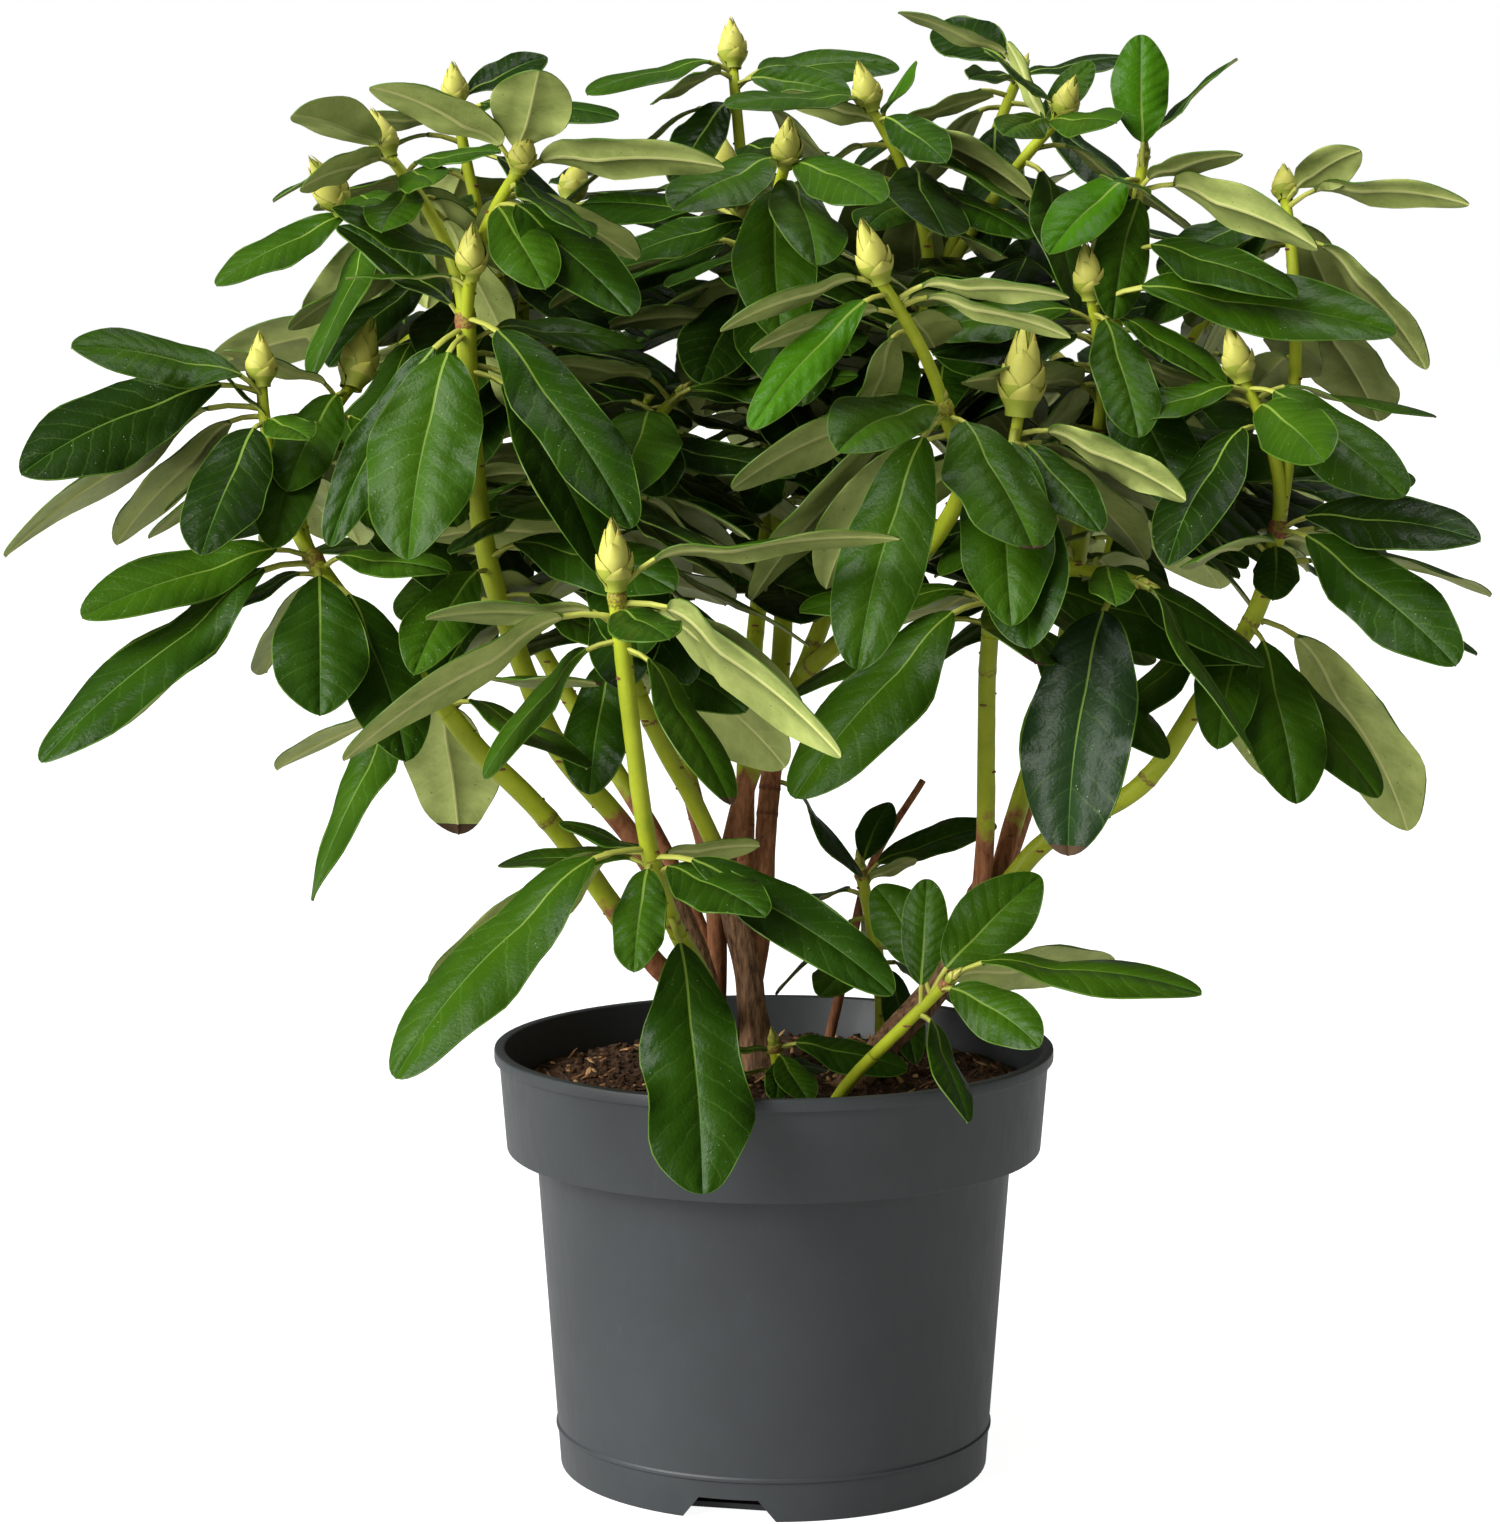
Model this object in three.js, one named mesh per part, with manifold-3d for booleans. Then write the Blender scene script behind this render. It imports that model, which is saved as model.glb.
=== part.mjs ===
// Potted rhododendron: an evergreen shrub with several stems in a 23 cm nursery pot.
// Millimetres, +Z up, the front of the shrub faces -Y.
// The origin is the middle of the pot's flat underside.
import * as THREE from 'three';
import { mergeVertices } from 'three/addons/utils/BufferGeometryUtils.js';
import Module from 'manifold-3d';

const wasm = await Module();
wasm.setup();

// ---------------------------------------------------------------- driving dimensions
const CLEAR = 0.3;            // gap between neighbouring solids
const FINEST = 0.02;          // an edge that a cut leaves shorter than this is closed up
const DEGREE = Math.PI / 180;
const UP = new THREE.Vector3(0, 0, 1);

const POT_HEIGHT = 175;
const LIP_RADIUS = 115;       // rolled lip at the very top
const LIP_HEIGHT = 5;
const BAND_TOP_RADIUS = 113;  // wide band under the lip
const BAND_FOOT_RADIUS = 110;
const BAND_FOOT = 133;        // height of the step under the band
const BODY_TOP_RADIUS = 98;
const FOOT_RADIUS = 88.5;
const WALL = 2.3;
const POT_SIDES = 32;

const NOTCHES = 3;            // drain notches in the foot
const NOTCH_HEADING = 258;    // heading of the first one, degrees
const NOTCH_HEIGHT = 9;
const NOTCH_WIDE = 36;
const NOTCH_NARROW = 24;
const NOTCH_DEEP = 16;

const SOIL_TOP = 162;         // flat middle of the compost, where the stems stand
const SOIL_EDGE = 157;
const SOIL_FLAT_RADIUS = 80;

const LEAF_HALF_WIDTH = 0.18; // of the leaf's length
const LEAF_KEEL = 0.019;      // thickness under the midrib, of the leaf's length
const LEAF_ARCH = 32;         // degrees that a leaf bends down from stalk to tip
const WHORL_SPAN = 20;        // height of stem that carries one whorl of leaves
const GOLDEN_ANGLE = 137.5;
const TWIG_TIP_RADIUS = 2.3;
const BUD_SIDES = 5;
const BUD_RADIUS = 3.6;       // half the width of a bud, plus BUD_SWELL for each mm of its length
const BUD_SWELL = 0.12;
const FORK_STEP = 0.07;       // the twigs of one fork leave it one after the other
const STEPS_A_POINT = 1.3;    // rings of a limb for each point of its path

// Place along a leaf, its half width there as a share of the widest, and its keel likewise.
// Both ends are points, and the root's point lies across the stem's middle.
const LEAF_STATIONS = [[0, 0, 0], [0.18, 0.13, 1], [0.43, 1, 1], [0.76, 0.82, 1], [1, 0, 0]];
const LEAF_ROOT = 1.6;        // how far past the stem's middle a leaf's root is sunk
const BLADE_START = 0.24;     // where the stalk has become the blade

// Small turns (heading, pitch) that a leaf tries until it touches nothing.
const LEAF_TURNS = [
  [0, 0], [12, 4], [-12, 4], [4, -10], [22, -6], [-22, -6], [34, 10], [-34, 10], [0, 18],
];

// ---------------------------------------------------------------- the plant
// A limb's path holds the few points it passes, from its foot to its fork. `bare` is the point
// on it, counted from 0, where the bare bough ends and the leafy mass takes over.
// A whorl sits on the path (`on`, a point counted in the same way) or at the tip of a twig that
// leaves the path at `from` (its end, unless told). `own` leaves have a heading (0 right,
// 90 back, 180 left, 270 front), a pitch, a length, and a lean of the face to the front;
// the other leaves follow the golden angle from `turn`.
const TRUNKS = [
  { name: 'trunk', path: [[-7, 0, 148], [-8, 0, 178], [-11, 0, 206], [-17, 0, 232], [-21, 1, 258]],
    foot: 6.6, tip: 4.4, flare: 7 },
  { name: 'left_trunk', path: [[-25, -3, 148], [-24, -3, 182], [-31, -5, 211], [-43, -9, 240]],
    foot: 5.6, tip: 4.6, flare: 3 },
  { name: 'right_trunk', path: [[20, -24, 148], [42, -18, 174], [68, -10, 203], [86, -2, 241]],
    foot: 6, tip: 4.9, flare: 3 },
  { name: 'dead_twig', path: [[20, 60, 148], [32, 58, 200], [42, 58, 241], [64, 68, 276]],
    foot: 2.4, tip: 1.5, flare: 0 },
];

const LIMBS = [
  { name: 'front', foot: 4, tip: 3.3, bare: 1.75,
    path: [[-24, -5, 184], [-29, -42, 210], [-41, -76, 240], [-49, -96, 272], [-55, -112, 321],
      [-60, -124, 372]],
    whorls: [
      { on: 2.1, leaves: 1, own: [[281, -52, 122, 0, 0.17]] },
      { on: 3, leaves: 8, long: 70, turn: 60, droop: 5,
        own: [[212, -35, 138, 18, 0.145], [160, -32, 112, -20], [335, -24, 114, 34, 0.125],
          [262, -38, 58, 0], [20, 8, 46, -40], [150, 20, 48, 0]] },
      { on: 5, leaves: 8, long: 80, turn: 70, bud: 26,
        own: [[350, 12, 112, -18, 0.115], [330, -28, 112, -45], [335, -32, 84, -50],
          [197, -25, 120, -35, 0.13], [300, -4, 66, 15], [180, 4, 76, -25, 0.15]] },
    ] },
  { name: 'left', foot: 4.6, tip: 3.7, bare: 3.6,
    path: [[-25, -5, 188], [-50, -20, 214], [-87, -48, 271], [-117, -58, 304], [-135, -60, 327],
      [-163, -56, 354], [-183, -50, 380]],
    whorls: [
      { on: 4.1, leaves: 5, long: 75, turn: 100, droop: 30,
        own: [[238, -44, 108, -14, 0.12], [84, -49, 84, 0, 0.22]] },
      { on: 6, leaves: 7, long: 85, turn: 20, droop: 25,
        own: [[205, -12, 98, 34, 0.17], [213, -31, 140, 20, 0.13], [276, -40, 82, 0, 0.23],
          [326, 2, 66, 20], [178, -20, 60, 20, 0.15], [304, -46, 92, 0, 0.2]] },
      { tip: [-202, -40, 446], leaves: 8, long: 85, turn: 60, bud: 21,
        own: [[204, -17, 104, 44, 0.2], [210, 15, 84, 40, 0.19], [179, -29, 122, -10],
          [159, -37, 88, -10], [253, -38, 80, 10, 0.2], [297, -3, 50, 20], [180, 60, 40, 0]] },
      { tip: [-170, -8, 445], leaves: 8, long: 82, turn: 0, bud: 30,
        own: [[248, -22, 70, 20], [241, -30, 90, 25], [217, 20, 54, -20, 0.14],
          [255, -37, 86, 20, 0.14]] },
    ] },
  { name: 'left_centre', foot: 4.6, tip: 3.9, bare: 3.5,
    path: [[-41, -8, 236], [-61, -18, 268], [-86, -30, 300], [-101, -38, 337],
      [-114, -40, 379], [-119, -46, 425], [-121, -50, 476]],
    whorls: [
      { on: 4, leaves: 7, long: 82, turn: 30, droop: 30,
        own: [[322, -4, 98, 28], [232, -35, 72, 20], [218, -28, 92, -20]] },
      { on: 6, leaves: 8, long: 100, turn: 90, droop: 45,
        own: [[320, -42, 120, 25, 0.135], [212, -54, 106, 40, 0.1], [253, -53, 108, 5, 0.21],
          [142, 33, 84, 20, 0.14], [33, 0, 84, 30, 0.14], [52, -29, 92, 0], [16, -44, 84, 0]] },
      { tip: [-151, -40, 535], leaves: 9, long: 66, turn: 20, bud: 20,
        own: [[229, 17, 58, -35], [237, -8, 62, -40], [175, 66, 34, -25, 0.22], [322, 10, 52, 25],
          [274, -6, 48, 25, 0.22], [122, -36, 92, 0, 0.23], [254, -21, 44, 0, 0.26],
          [88, -21, 66, 0, 0.24]] },
      { tip: [-98, -80, 528], leaves: 9, long: 75, turn: 100, bud: 16,
        own: [[222, 25, 76, -10, 0.21], [306, 39, 72, -10, 0.21], [336, 4, 94, -25],
          [305, -16, 66, -10], [89, -30, 60, 0, 0.24], [45, -16, 78, -10], [314, -28, 90, 20, 0.17],
          [303, -29, 72, 20, 0.17]] },
      { tip: [-118, -62, 488], leaves: 2, long: 52, turn: 0, bud: 22,
        own: [[190, 28, 62, 30], [157, 2, 52, 0]] },
    ] },
  { name: 'inner_left', foot: 3.8, tip: 3.3, bare: 2.4,
    path: [[-20, -1, 248], [-32, -12, 276], [-48, -28, 308], [-62, -32, 345], [-66, -26, 385]],
    whorls: [
      { on: 3, leaves: 6, long: 80, turn: 30, droop: 35, own: [[258, -45, 76, 0], [345, -32, 82, -62, 0.26]] },
      { on: 4, leaves: 6, long: 88, turn: 80, own: [[280, -25, 90, 10]] },
      { tip: [-40, 0, 440], leaves: 6, long: 92, turn: 200, droop: 38 },
    ] },
  { name: 'left_rear', foot: 4.2, tip: 3.5, bare: 4.2,
    path: [[-25, 10, 148], [-24, 14, 228], [-36, 20, 285], [-50, 32, 330], [-74, 54, 398], [-105, 66, 462]],
    whorls: [
      { on: 5, leaves: 5, long: 96, turn: 10, droop: 32 },
      { tip: [-132, 60, 560], leaves: 7, long: 82, turn: 15, bud: 18,
        own: [[38, 28, 54, 30], [340, 0, 74, 20], [309, 14, 46, 20], [192, 4, 60, -20]] },
      { tip: [-176, 22, 516], leaves: 7, long: 80, turn: 150, bud: 26 },
      { tip: [-88, 118, 522], leaves: 6, long: 90, turn: 80, bud: 22 },
      { tip: [-160, 112, 462], leaves: 7, long: 95, turn: 120 },
    ] },
  { name: 'centre', foot: 4.8, tip: 3.7, bare: 2.3,
    path: [[-10, 2, 196], [-5, 8, 226], [-3, 16, 264], [2, 30, 315], [4, 42, 372], [-4, 52, 446]],
    whorls: [
      { on: 4.2, leaves: 5, long: 95, turn: 20, droop: 35 },
      { tip: [-17, 82, 577], leaves: 8, long: 84, turn: 60, bud: 21,
        own: [[205, -8, 70, 15], [226, -2, 56, -30], [348, -6, 52, 52, 0.2], [8, 5, 78, 30],
          [234, -41, 58, 30]] },
      { tip: [-12, 30, 512], leaves: 7, long: 88, turn: 140, bud: 20 },
      { tip: [4, -30, 532], leaves: 7, long: 84, turn: 90, bud: 21,
        own: [[237, -12, 82, 22], [303, -10, 72, 30], [270, -44, 92, 0], [20, -5, 60, 10]] },
      { on: 2.45, leaves: 1, own: [[322, -56, 58, 0, 0.27]] },
    ] },
  { name: 'centre_right', foot: 4, tip: 3.5, bare: 3.5,
    path: [[-20, 1, 250], [-8, 6, 290], [14, 20, 332], [38, 32, 400], [62, 42, 470]],
    whorls: [
      { on: 4, leaves: 6, long: 98, turn: 200, droop: 38 },
      { tip: [40, 36, 557], leaves: 11, long: 76, turn: 90, bud: 20,
        own: [[211, 2, 74, 18], [300, -19, 56, 35], [317, -18, 74, -35], [59, 48, 40, -30],
          [170, 20, 50, -35], [20, 22, 52, -25]] },
      { tip: [116, 20, 553], leaves: 8, long: 80, turn: 40, bud: 18,
        own: [[221, 34, 50, 35], [241, -5, 46, 30, 0.21], [300, 3, 52, 30, 0.21], [29, 50, 42, 35],
          [180, 72, 44, -20]] },
      { tip: [105, 92, 576], leaves: 8, long: 80, turn: 20,
        own: [[197, 25, 62, -8, 0.16], [128, 24, 62, 40, 0.2], [240, 2, 44, 25],
          [15, 16, 56, 20]] },
    ] },
  { name: 'centre_front', foot: 4, tip: 3, bare: 2.4,
    path: [[12, 18, 326], [47, -28, 364], [72, -68, 406], [64, -88, 440]],
    whorls: [
      { on: 3, leaves: 7, long: 80, turn: 40, droop: 30,
        own: [[195, -19, 92, -38, 0.16], [237, -55, 116, 15, 0.15], [300, -38, 78, 0, 0.27],
          [150, -39, 116, -10, 0.15]] },
      { tip: [39, -110, 486], leaves: 9, long: 70, turn: 100, bud: 24,
        own: [[200, -13, 70, -30, 0.13], [214, -38, 82, 38, 0.12], [207, 43, 42, -10, 0.22],
          [335, 2, 72, -28, 0.125], [352, -9, 68, -25, 0.125], [60, 5, 56, -20],
          [207, -15, 64, -35, 0.14], [75, -11, 52, -20, 0.28]] },
    ] },
  { name: 'right_front', foot: 4, tip: 3.4, bare: 2.5,
    path: [[84, -4, 234], [86, -10, 264], [85, -30, 328], [86, -50, 364]],
    whorls: [
      { on: 3, leaves: 8, long: 88, turn: 80, droop: 30,
        own: [[208, -39, 118, 22], [345, -11, 108, 32], [190, 0, 80, 20]] },
      { tip: [94, -72, 436], leaves: 8, long: 85, turn: 60, bud: 36,
        own: [[180, 41, 74, -40, 0.22], [265, -46, 100, 0], [335, -18, 76, -38], [309, -33, 60, 25],
          [30, -20, 80, 0]] },
      { tip: [138, -88, 372], leaves: 7, long: 78, turn: 20, droop: 30,
        own: [[242, -62, 116, 5, 0.19], [310, -40, 98, -30, 0.15], [270, -10, 50, 0]] },
    ] },
  { name: 'right_centre', foot: 4.2, tip: 3.6, bare: 2.5,
    path: [[90, 0, 236], [100, 4, 272], [117, 10, 325], [124, 2, 380], [130, -16, 428]],
    whorls: [
      { on: 4, leaves: 8, long: 88, turn: 100, droop: 40,
        own: [[270, -45, 80, 0, 0.21], [310, -44, 88, 12, 0.2], [350, -5, 98, 30]] },
      { tip: [125, -30, 480], leaves: 8, long: 85, turn: 170, bud: 22,
        own: [[350, -5, 122, 38, 0.16], [285, -42, 72, 0], [335, -25, 62, 20]] },
      { tip: [148, 0, 535], leaves: 9, long: 68, turn: 200,
        own: [[90, 76, 56, 0, 0.21], [20, 56, 66, -12, 0.14], [224, -28, 64, 30, 0.2],
          [245, -44, 66, 38], [322, -15, 88, -40], [316, 17, 56, -15], [221, -2, 56, 20]] },
    ] },
  { name: 'right', foot: 4.2, tip: 3.6, bare: 3.4,
    path: [[92, -6, 238], [112, -12, 262], [147, -30, 286], [169, -40, 321], [190, -48, 358],
      [198, -50, 392]],
    whorls: [
      { on: 4, leaves: 6, long: 80, turn: 130, droop: 45,
        own: [[12, -52, 112, -25, 0.21], [285, -52, 84, 0, 0.2], [240, -40, 70, 20]] },
      { on: 5, leaves: 8, long: 82, turn: 100, droop: 15,
        own: [[318, -30, 98, 36, 0.18], [335, 0, 84, 36, 0.2], [8, -14, 94, 0],
          [262, -30, 38, 0, 0.24], [35, -5, 60, -30]] },
      { tip: [183, -50, 448], leaves: 8, long: 82, turn: 110, bud: 22,
        own: [[323, -30, 82, 34, 0.2], [200, -10, 60, 25]] },
      { tip: [208, 20, 520], leaves: 9, long: 72, turn: 100, bud: 16,
        own: [[304, 25, 50, -38, 0.2], [326, 1, 82, -30, 0.13], [50, -46, 62, 0, 0.24],
          [214, -19, 72, 20], [132, -38, 68, 0, 0.24]] },
    ] },
  { name: 'low_right', foot: 2.7, tip: 2.2, bare: 1.5,
    path: [[16, -50, 148], [30, -66, 173], [48, -84, 196], [66, -100, 218]],
    whorls: [
      { on: 3, leaves: 7, long: 55, turn: 200,
        own: [[346, 1, 103, 10], [312, -14, 58, 40, 0.2], [25, 42, 66, 45, 0.22],
          [120, 43, 58, 40, 0.2], [8, 10, 92, -40], [115, 60, 52, 0]] },
    ] },
  { name: 'rear_low', foot: 3.2, tip: 2.6, bare: 0.8,
    path: [[46, 40, 148], [45, 43, 196], [37, 44, 240]],
    whorls: [
      { on: 1.3, leaves: 3, long: 52, turn: 30, droop: 20,
        own: [[244, -10, 60, 15], [300, -52, 52, 0]] },
      { on: 2, leaves: 7, long: 52, turn: 100,
        own: [[51, 41, 42, 20], [5, 23, 64, 25], [319, 30, 34, -20]] },
    ] },
  { name: 'rear_left', foot: 4.2, tip: 3.5, bare: 2.5,
    path: [[-24, 13, 204], [-50, 44, 256], [-92, 92, 316], [-122, 120, 366]],
    whorls: [
      { on: 3, leaves: 5, long: 92, turn: 60, droop: 30 },
      { tip: [-158, 148, 412], leaves: 6, long: 92, turn: 120, bud: 24 },
      { tip: [-210, 62, 392], leaves: 6, long: 92, turn: 140 },
      { tip: [-92, 188, 408], leaves: 6, long: 92, turn: 80, bud: 24 },
    ] },
  { name: 'rear_centre', foot: 4.4, tip: 3.6, bare: 2.6,
    path: [[-9, 2, 190], [-12, 50, 262], [-8, 98, 330], [0, 124, 396]],
    whorls: [
      { on: 3, leaves: 5, long: 92, turn: 90, droop: 30 },
      { tip: [-20, 160, 530], leaves: 7, long: 88, turn: 60, bud: 26 },
      { tip: [-50, 206, 470], leaves: 6, long: 90, turn: 90 },
      { tip: [46, 206, 452], leaves: 6, long: 90, turn: 40, bud: 24 },
      { tip: [6, 198, 376], leaves: 7, long: 86, turn: 70, droop: 20 },
    ] },
  { name: 'rear_right', foot: 4.6, tip: 3.6, bare: 2.5,
    path: [[88, 0, 228], [110, 40, 282], [138, 84, 340], [152, 106, 396]],
    whorls: [
      { on: 3, leaves: 5, long: 90, turn: 10, droop: 30 },
      { tip: [108, 148, 520], leaves: 7, long: 88, turn: 70, bud: 26 },
      { tip: [186, 92, 474], leaves: 7, long: 85, turn: 30 },
      { tip: [134, 196, 440], leaves: 6, long: 88, turn: 60, bud: 24 },
      { tip: [214, 104, 392], leaves: 7, long: 80, turn: 10, droop: 22 },
    ] },
  { name: 'base', foot: 3, tip: 2.4, bare: 0,
    path: [[4, -30, 148], [2, -36, 170], [0, -42, 182]],
    whorls: [
      { on: 2, leaves: 6, long: 34, turn: 200, droop: 10,
        own: [[325, -18, 56, 32], [285, -30, 34, 0, 0.25], [178, 5, 34, 0]] },
    ] },
];

// ---------------------------------------------------------------- materials
function finish(color, roughness) {
  return new THREE.MeshStandardMaterial({ color, roughness, metalness: 0 });
}
const POT_PLASTIC = finish(0x4d5152, 0.45);
const COMPOST = finish(0x2e1e14, 0.95);
const OLD_BARK = finish(0x6b5040, 0.85);
const GREEN_BARK = finish(0x8f9a35, 0.6);
const FOLIAGE = finish(0x2a5526, 0.4);

// ---------------------------------------------------------------- solids from geometry
function solidOf(geometry) {
  const bare = geometry.clone();
  bare.deleteAttribute('normal');
  bare.deleteAttribute('uv');
  const merged = mergeVertices(bare, 1e-3);
  const triangles = [];
  for (let k = 0; k < merged.index.count; k += 3) {
    const [a, b, c] = [0, 1, 2].map((n) => merged.index.getX(k + n));
    if (a !== b && b !== c && c !== a) triangles.push(a, b, c);
  }
  const vertProperties = new Float32Array(merged.attributes.position.array);
  const triVerts = new Uint32Array(triangles);
  return new wasm.Manifold(new wasm.Mesh({ numProp: 3, vertProperties, triVerts }));
}

// Closes up each edge shorter than FINEST, where its two ends share just the two neighbours
// that a closed surface allows, so that the surface stays closed.
function withoutShortEdges(index, point) {
  let triangles = [];
  for (let k = 0; k < index.length; k += 3) triangles.push(index.slice(k, k + 3));
  for (;;) {
    const near = new Map();
    for (const corners of triangles) {
      for (const a of corners) {
        if (!near.has(a)) near.set(a, new Set());
        for (const b of corners) if (b !== a) near.get(a).add(b);
      }
    }
    const closed = new Map();
    const busy = new Set();
    for (const [a, around] of near) {
      for (const b of around) {
        const shared = [...around].filter((c) => near.get(b).has(c));
        const reach = [a, b, ...around, ...near.get(b)];
        const short = a < b && point(a).distanceTo(point(b)) < FINEST;
        if (!short || shared.length !== 2 || reach.some((c) => busy.has(c))) continue;
        closed.set(b, a);
        reach.forEach((c) => busy.add(c));
      }
    }
    if (closed.size === 0) return triangles.flat();
    triangles = triangles.map((corners) => corners.map((c) => closed.get(c) ?? c));
    triangles = triangles.filter((corners) => new Set(corners).size === 3);
  }
}

// The largest closed shell of a fused solid: loose scraps and sealed hollows are left out.
function largestShell(solid) {
  const { vertProperties, triVerts } = solid.getMesh();
  const owner = Array.from({ length: vertProperties.length / 3 }, (_, i) => i);
  const rootOf = (i) => {
    while (owner[i] !== i) i = owner[i] = owner[owner[i]];
    return i;
  };
  for (let k = 0; k < triVerts.length; k += 3) {
    owner[rootOf(triVerts[k])] = rootOf(triVerts[k + 1]);
    owner[rootOf(triVerts[k + 1])] = rootOf(triVerts[k + 2]);
  }
  const point = (i) => new THREE.Vector3().fromArray(vertProperties, 3 * i);
  const shells = new Map();
  for (let k = 0; k < triVerts.length; k += 3) {
    const corners = triVerts.slice(k, k + 3);
    const shell = rootOf(corners[0]);
    if (!shells.has(shell)) shells.set(shell, { volume: 0, index: [] });
    const [a, b, c] = Array.from(corners, point);
    shells.get(shell).volume += a.dot(b.cross(c)) / 6;
    shells.get(shell).index.push(...corners);
  }
  const largest = [...shells.values()].sort((a, b) => b.volume - a.volume)[0];
  const geometry = new THREE.BufferGeometry();
  geometry.setAttribute('position', new THREE.BufferAttribute(vertProperties, 3));
  geometry.setIndex(withoutShortEdges(largest.index, point));
  geometry.computeVertexNormals();
  return mergeVertices(geometry, 1e-6);
}

function touches(a, b) {
  const apart = [0, 1, 2].some((k) => a.box.min[k] > b.box.max[k] || b.box.min[k] > a.box.max[k]);
  return !apart && a.solid.intersect(b.solid).getMesh().triVerts.length > 0;
}

function boxed(solid) {
  return { solid, box: solid.boundingBox() };
}

// ---------------------------------------------------------------- limbs
function splineThrough(points) {
  return new THREE.CatmullRomCurve3(points.map((p) => new THREE.Vector3(...p)), false, 'catmullrom');
}

// A tapering round bar along part of a curve; radiusAt takes the place on the whole curve.
function barAlong(curve, radiusAt, sides, steps, start = 0, end = 1) {
  const geometry = new THREE.CylinderGeometry(1, 1, 1, sides, steps);
  geometry.rotateX(Math.PI / 2);
  const position = geometry.attributes.position;
  const corner = new THREE.Vector3();
  const lean = new THREE.Quaternion();
  for (let i = 0; i < position.count; i++) {
    const place = THREE.MathUtils.lerp(start, end, position.getZ(i) + 0.5);
    lean.setFromUnitVectors(UP, curve.getTangent(place));
    corner.set(position.getX(i), position.getY(i), 0).multiplyScalar(radiusAt(place));
    corner.applyQuaternion(lean).add(curve.getPoint(place));
    position.setXYZ(i, corner.x, corner.y, corner.z);
  }
  return geometry;
}

function taper(limb) {
  const flare = limb.flare ?? 0;
  return (place) => THREE.MathUtils.lerp(limb.foot, limb.tip, place) + flare * Math.exp(-9 * place);
}

// ---------------------------------------------------------------- leaves and buds
// The same number every time for the same limb, whorl, leaf and use, from 0 to 1.
function chance(limb, whorl, leaf, use) {
  const wave = Math.sin(limb * 12.9898 + whorl * 78.233 + leaf * 37.719 + use * 9.157) * 43758.5453;
  return wave - Math.floor(wave);
}

// A leaf is a three-sided spindle bent down an arc: flat above, with a keel under its midrib.
function leafGeometry(leaf, start, extra) {
  const geometry = new THREE.CylinderGeometry(1, 1, 1, 3, LEAF_STATIONS.length - 1);
  const position = geometry.attributes.position;
  const heading = leaf.heading * DEGREE;
  const arch = leaf.arch * DEGREE;
  const firstPitch = leaf.pitch * DEGREE + arch / 2;
  const ahead = new THREE.Vector3(Math.cos(heading), Math.sin(heading), 0);
  const level = new THREE.Vector3(-ahead.y, ahead.x, 0);
  const corner = new THREE.Vector3();
  for (let i = 0; i < position.count; i++) {
    const station = Math.round((position.getY(i) + 0.5) * (LEAF_STATIONS.length - 1));
    const place = Math.max(LEAF_STATIONS[station][0], start);
    const [, widthShare, keelShare] = LEAF_STATIONS[station];
    const pitch = firstPitch - arch * place;
    const reach = (Math.sin(firstPitch) - Math.sin(pitch)) / arch;
    const rise = (Math.cos(pitch) - Math.cos(firstPitch)) / arch;
    const run = ahead.clone().multiplyScalar(Math.cos(pitch)).addScaledVector(UP, Math.sin(pitch));
    const face = run.clone().cross(level);
    const side = level.clone().applyAxisAngle(run, leaf.roll * DEGREE);
    face.applyAxisAngle(run, leaf.roll * DEGREE);
    const halfWidth = widthShare * (leaf.halfWidth * leaf.length + 2 * extra);
    const lift = keelShare * extra;
    const keel = keelShare * (LEAF_KEEL * leaf.length + 2 * extra);
    const under = (position.getZ(i) + 0.5) / 1.5;
    const across = Math.sign(Math.round(position.getX(i) * 10));
    corner.copy(leaf.base).addScaledVector(ahead, -LEAF_ROOT);
    corner.addScaledVector(ahead, reach * leaf.length).addScaledVector(UP, rise * leaf.length);
    corner.addScaledVector(side, across * halfWidth);
    corner.addScaledVector(face, lift - under * keel);
    position.setXYZ(i, corner.x, corner.y, corner.z);
  }
  return geometry;
}

// A flower bud: a pointed drop that stands on the twig's tip and turns up. Short ones are plump.
function budGeometry(tip, tangent, length) {
  const radius = BUD_RADIUS + BUD_SWELL * length;
  const direction = tangent.clone().add(UP).normalize();
  const profile = [[0, -0.1], [0.85, 0.18], [0.85, 0.52], [0, 1]];
  const geometry = new THREE.LatheGeometry(
    profile.map(([r, h]) => new THREE.Vector2(r * radius, h * length)), BUD_SIDES);
  geometry.rotateX(Math.PI / 2);
  geometry.applyQuaternion(new THREE.Quaternion().setFromUnitVectors(UP, direction));
  return geometry.translate(tip.x, tip.y, tip.z);
}

// ---------------------------------------------------------------- pot and compost
function potGeometry() {
  const outside = [
    [0, 0], [FOOT_RADIUS, 0], [BODY_TOP_RADIUS, BAND_FOOT], [BAND_FOOT_RADIUS, BAND_FOOT],
    [BAND_TOP_RADIUS, POT_HEIGHT - LIP_HEIGHT], [LIP_RADIUS, POT_HEIGHT - LIP_HEIGHT],
    [LIP_RADIUS, POT_HEIGHT],
  ];
  const inside = [
    [BAND_TOP_RADIUS - WALL, POT_HEIGHT], [BAND_FOOT_RADIUS - WALL, BAND_FOOT + WALL],
    [BODY_TOP_RADIUS - WALL, BAND_FOOT + WALL], [FOOT_RADIUS - WALL, WALL], [0, WALL],
  ];
  const profile = [...outside, ...inside].map(([r, z]) => new THREE.Vector2(r, z));
  return new THREE.LatheGeometry(profile, POT_SIDES).rotateX(Math.PI / 2);
}

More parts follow.
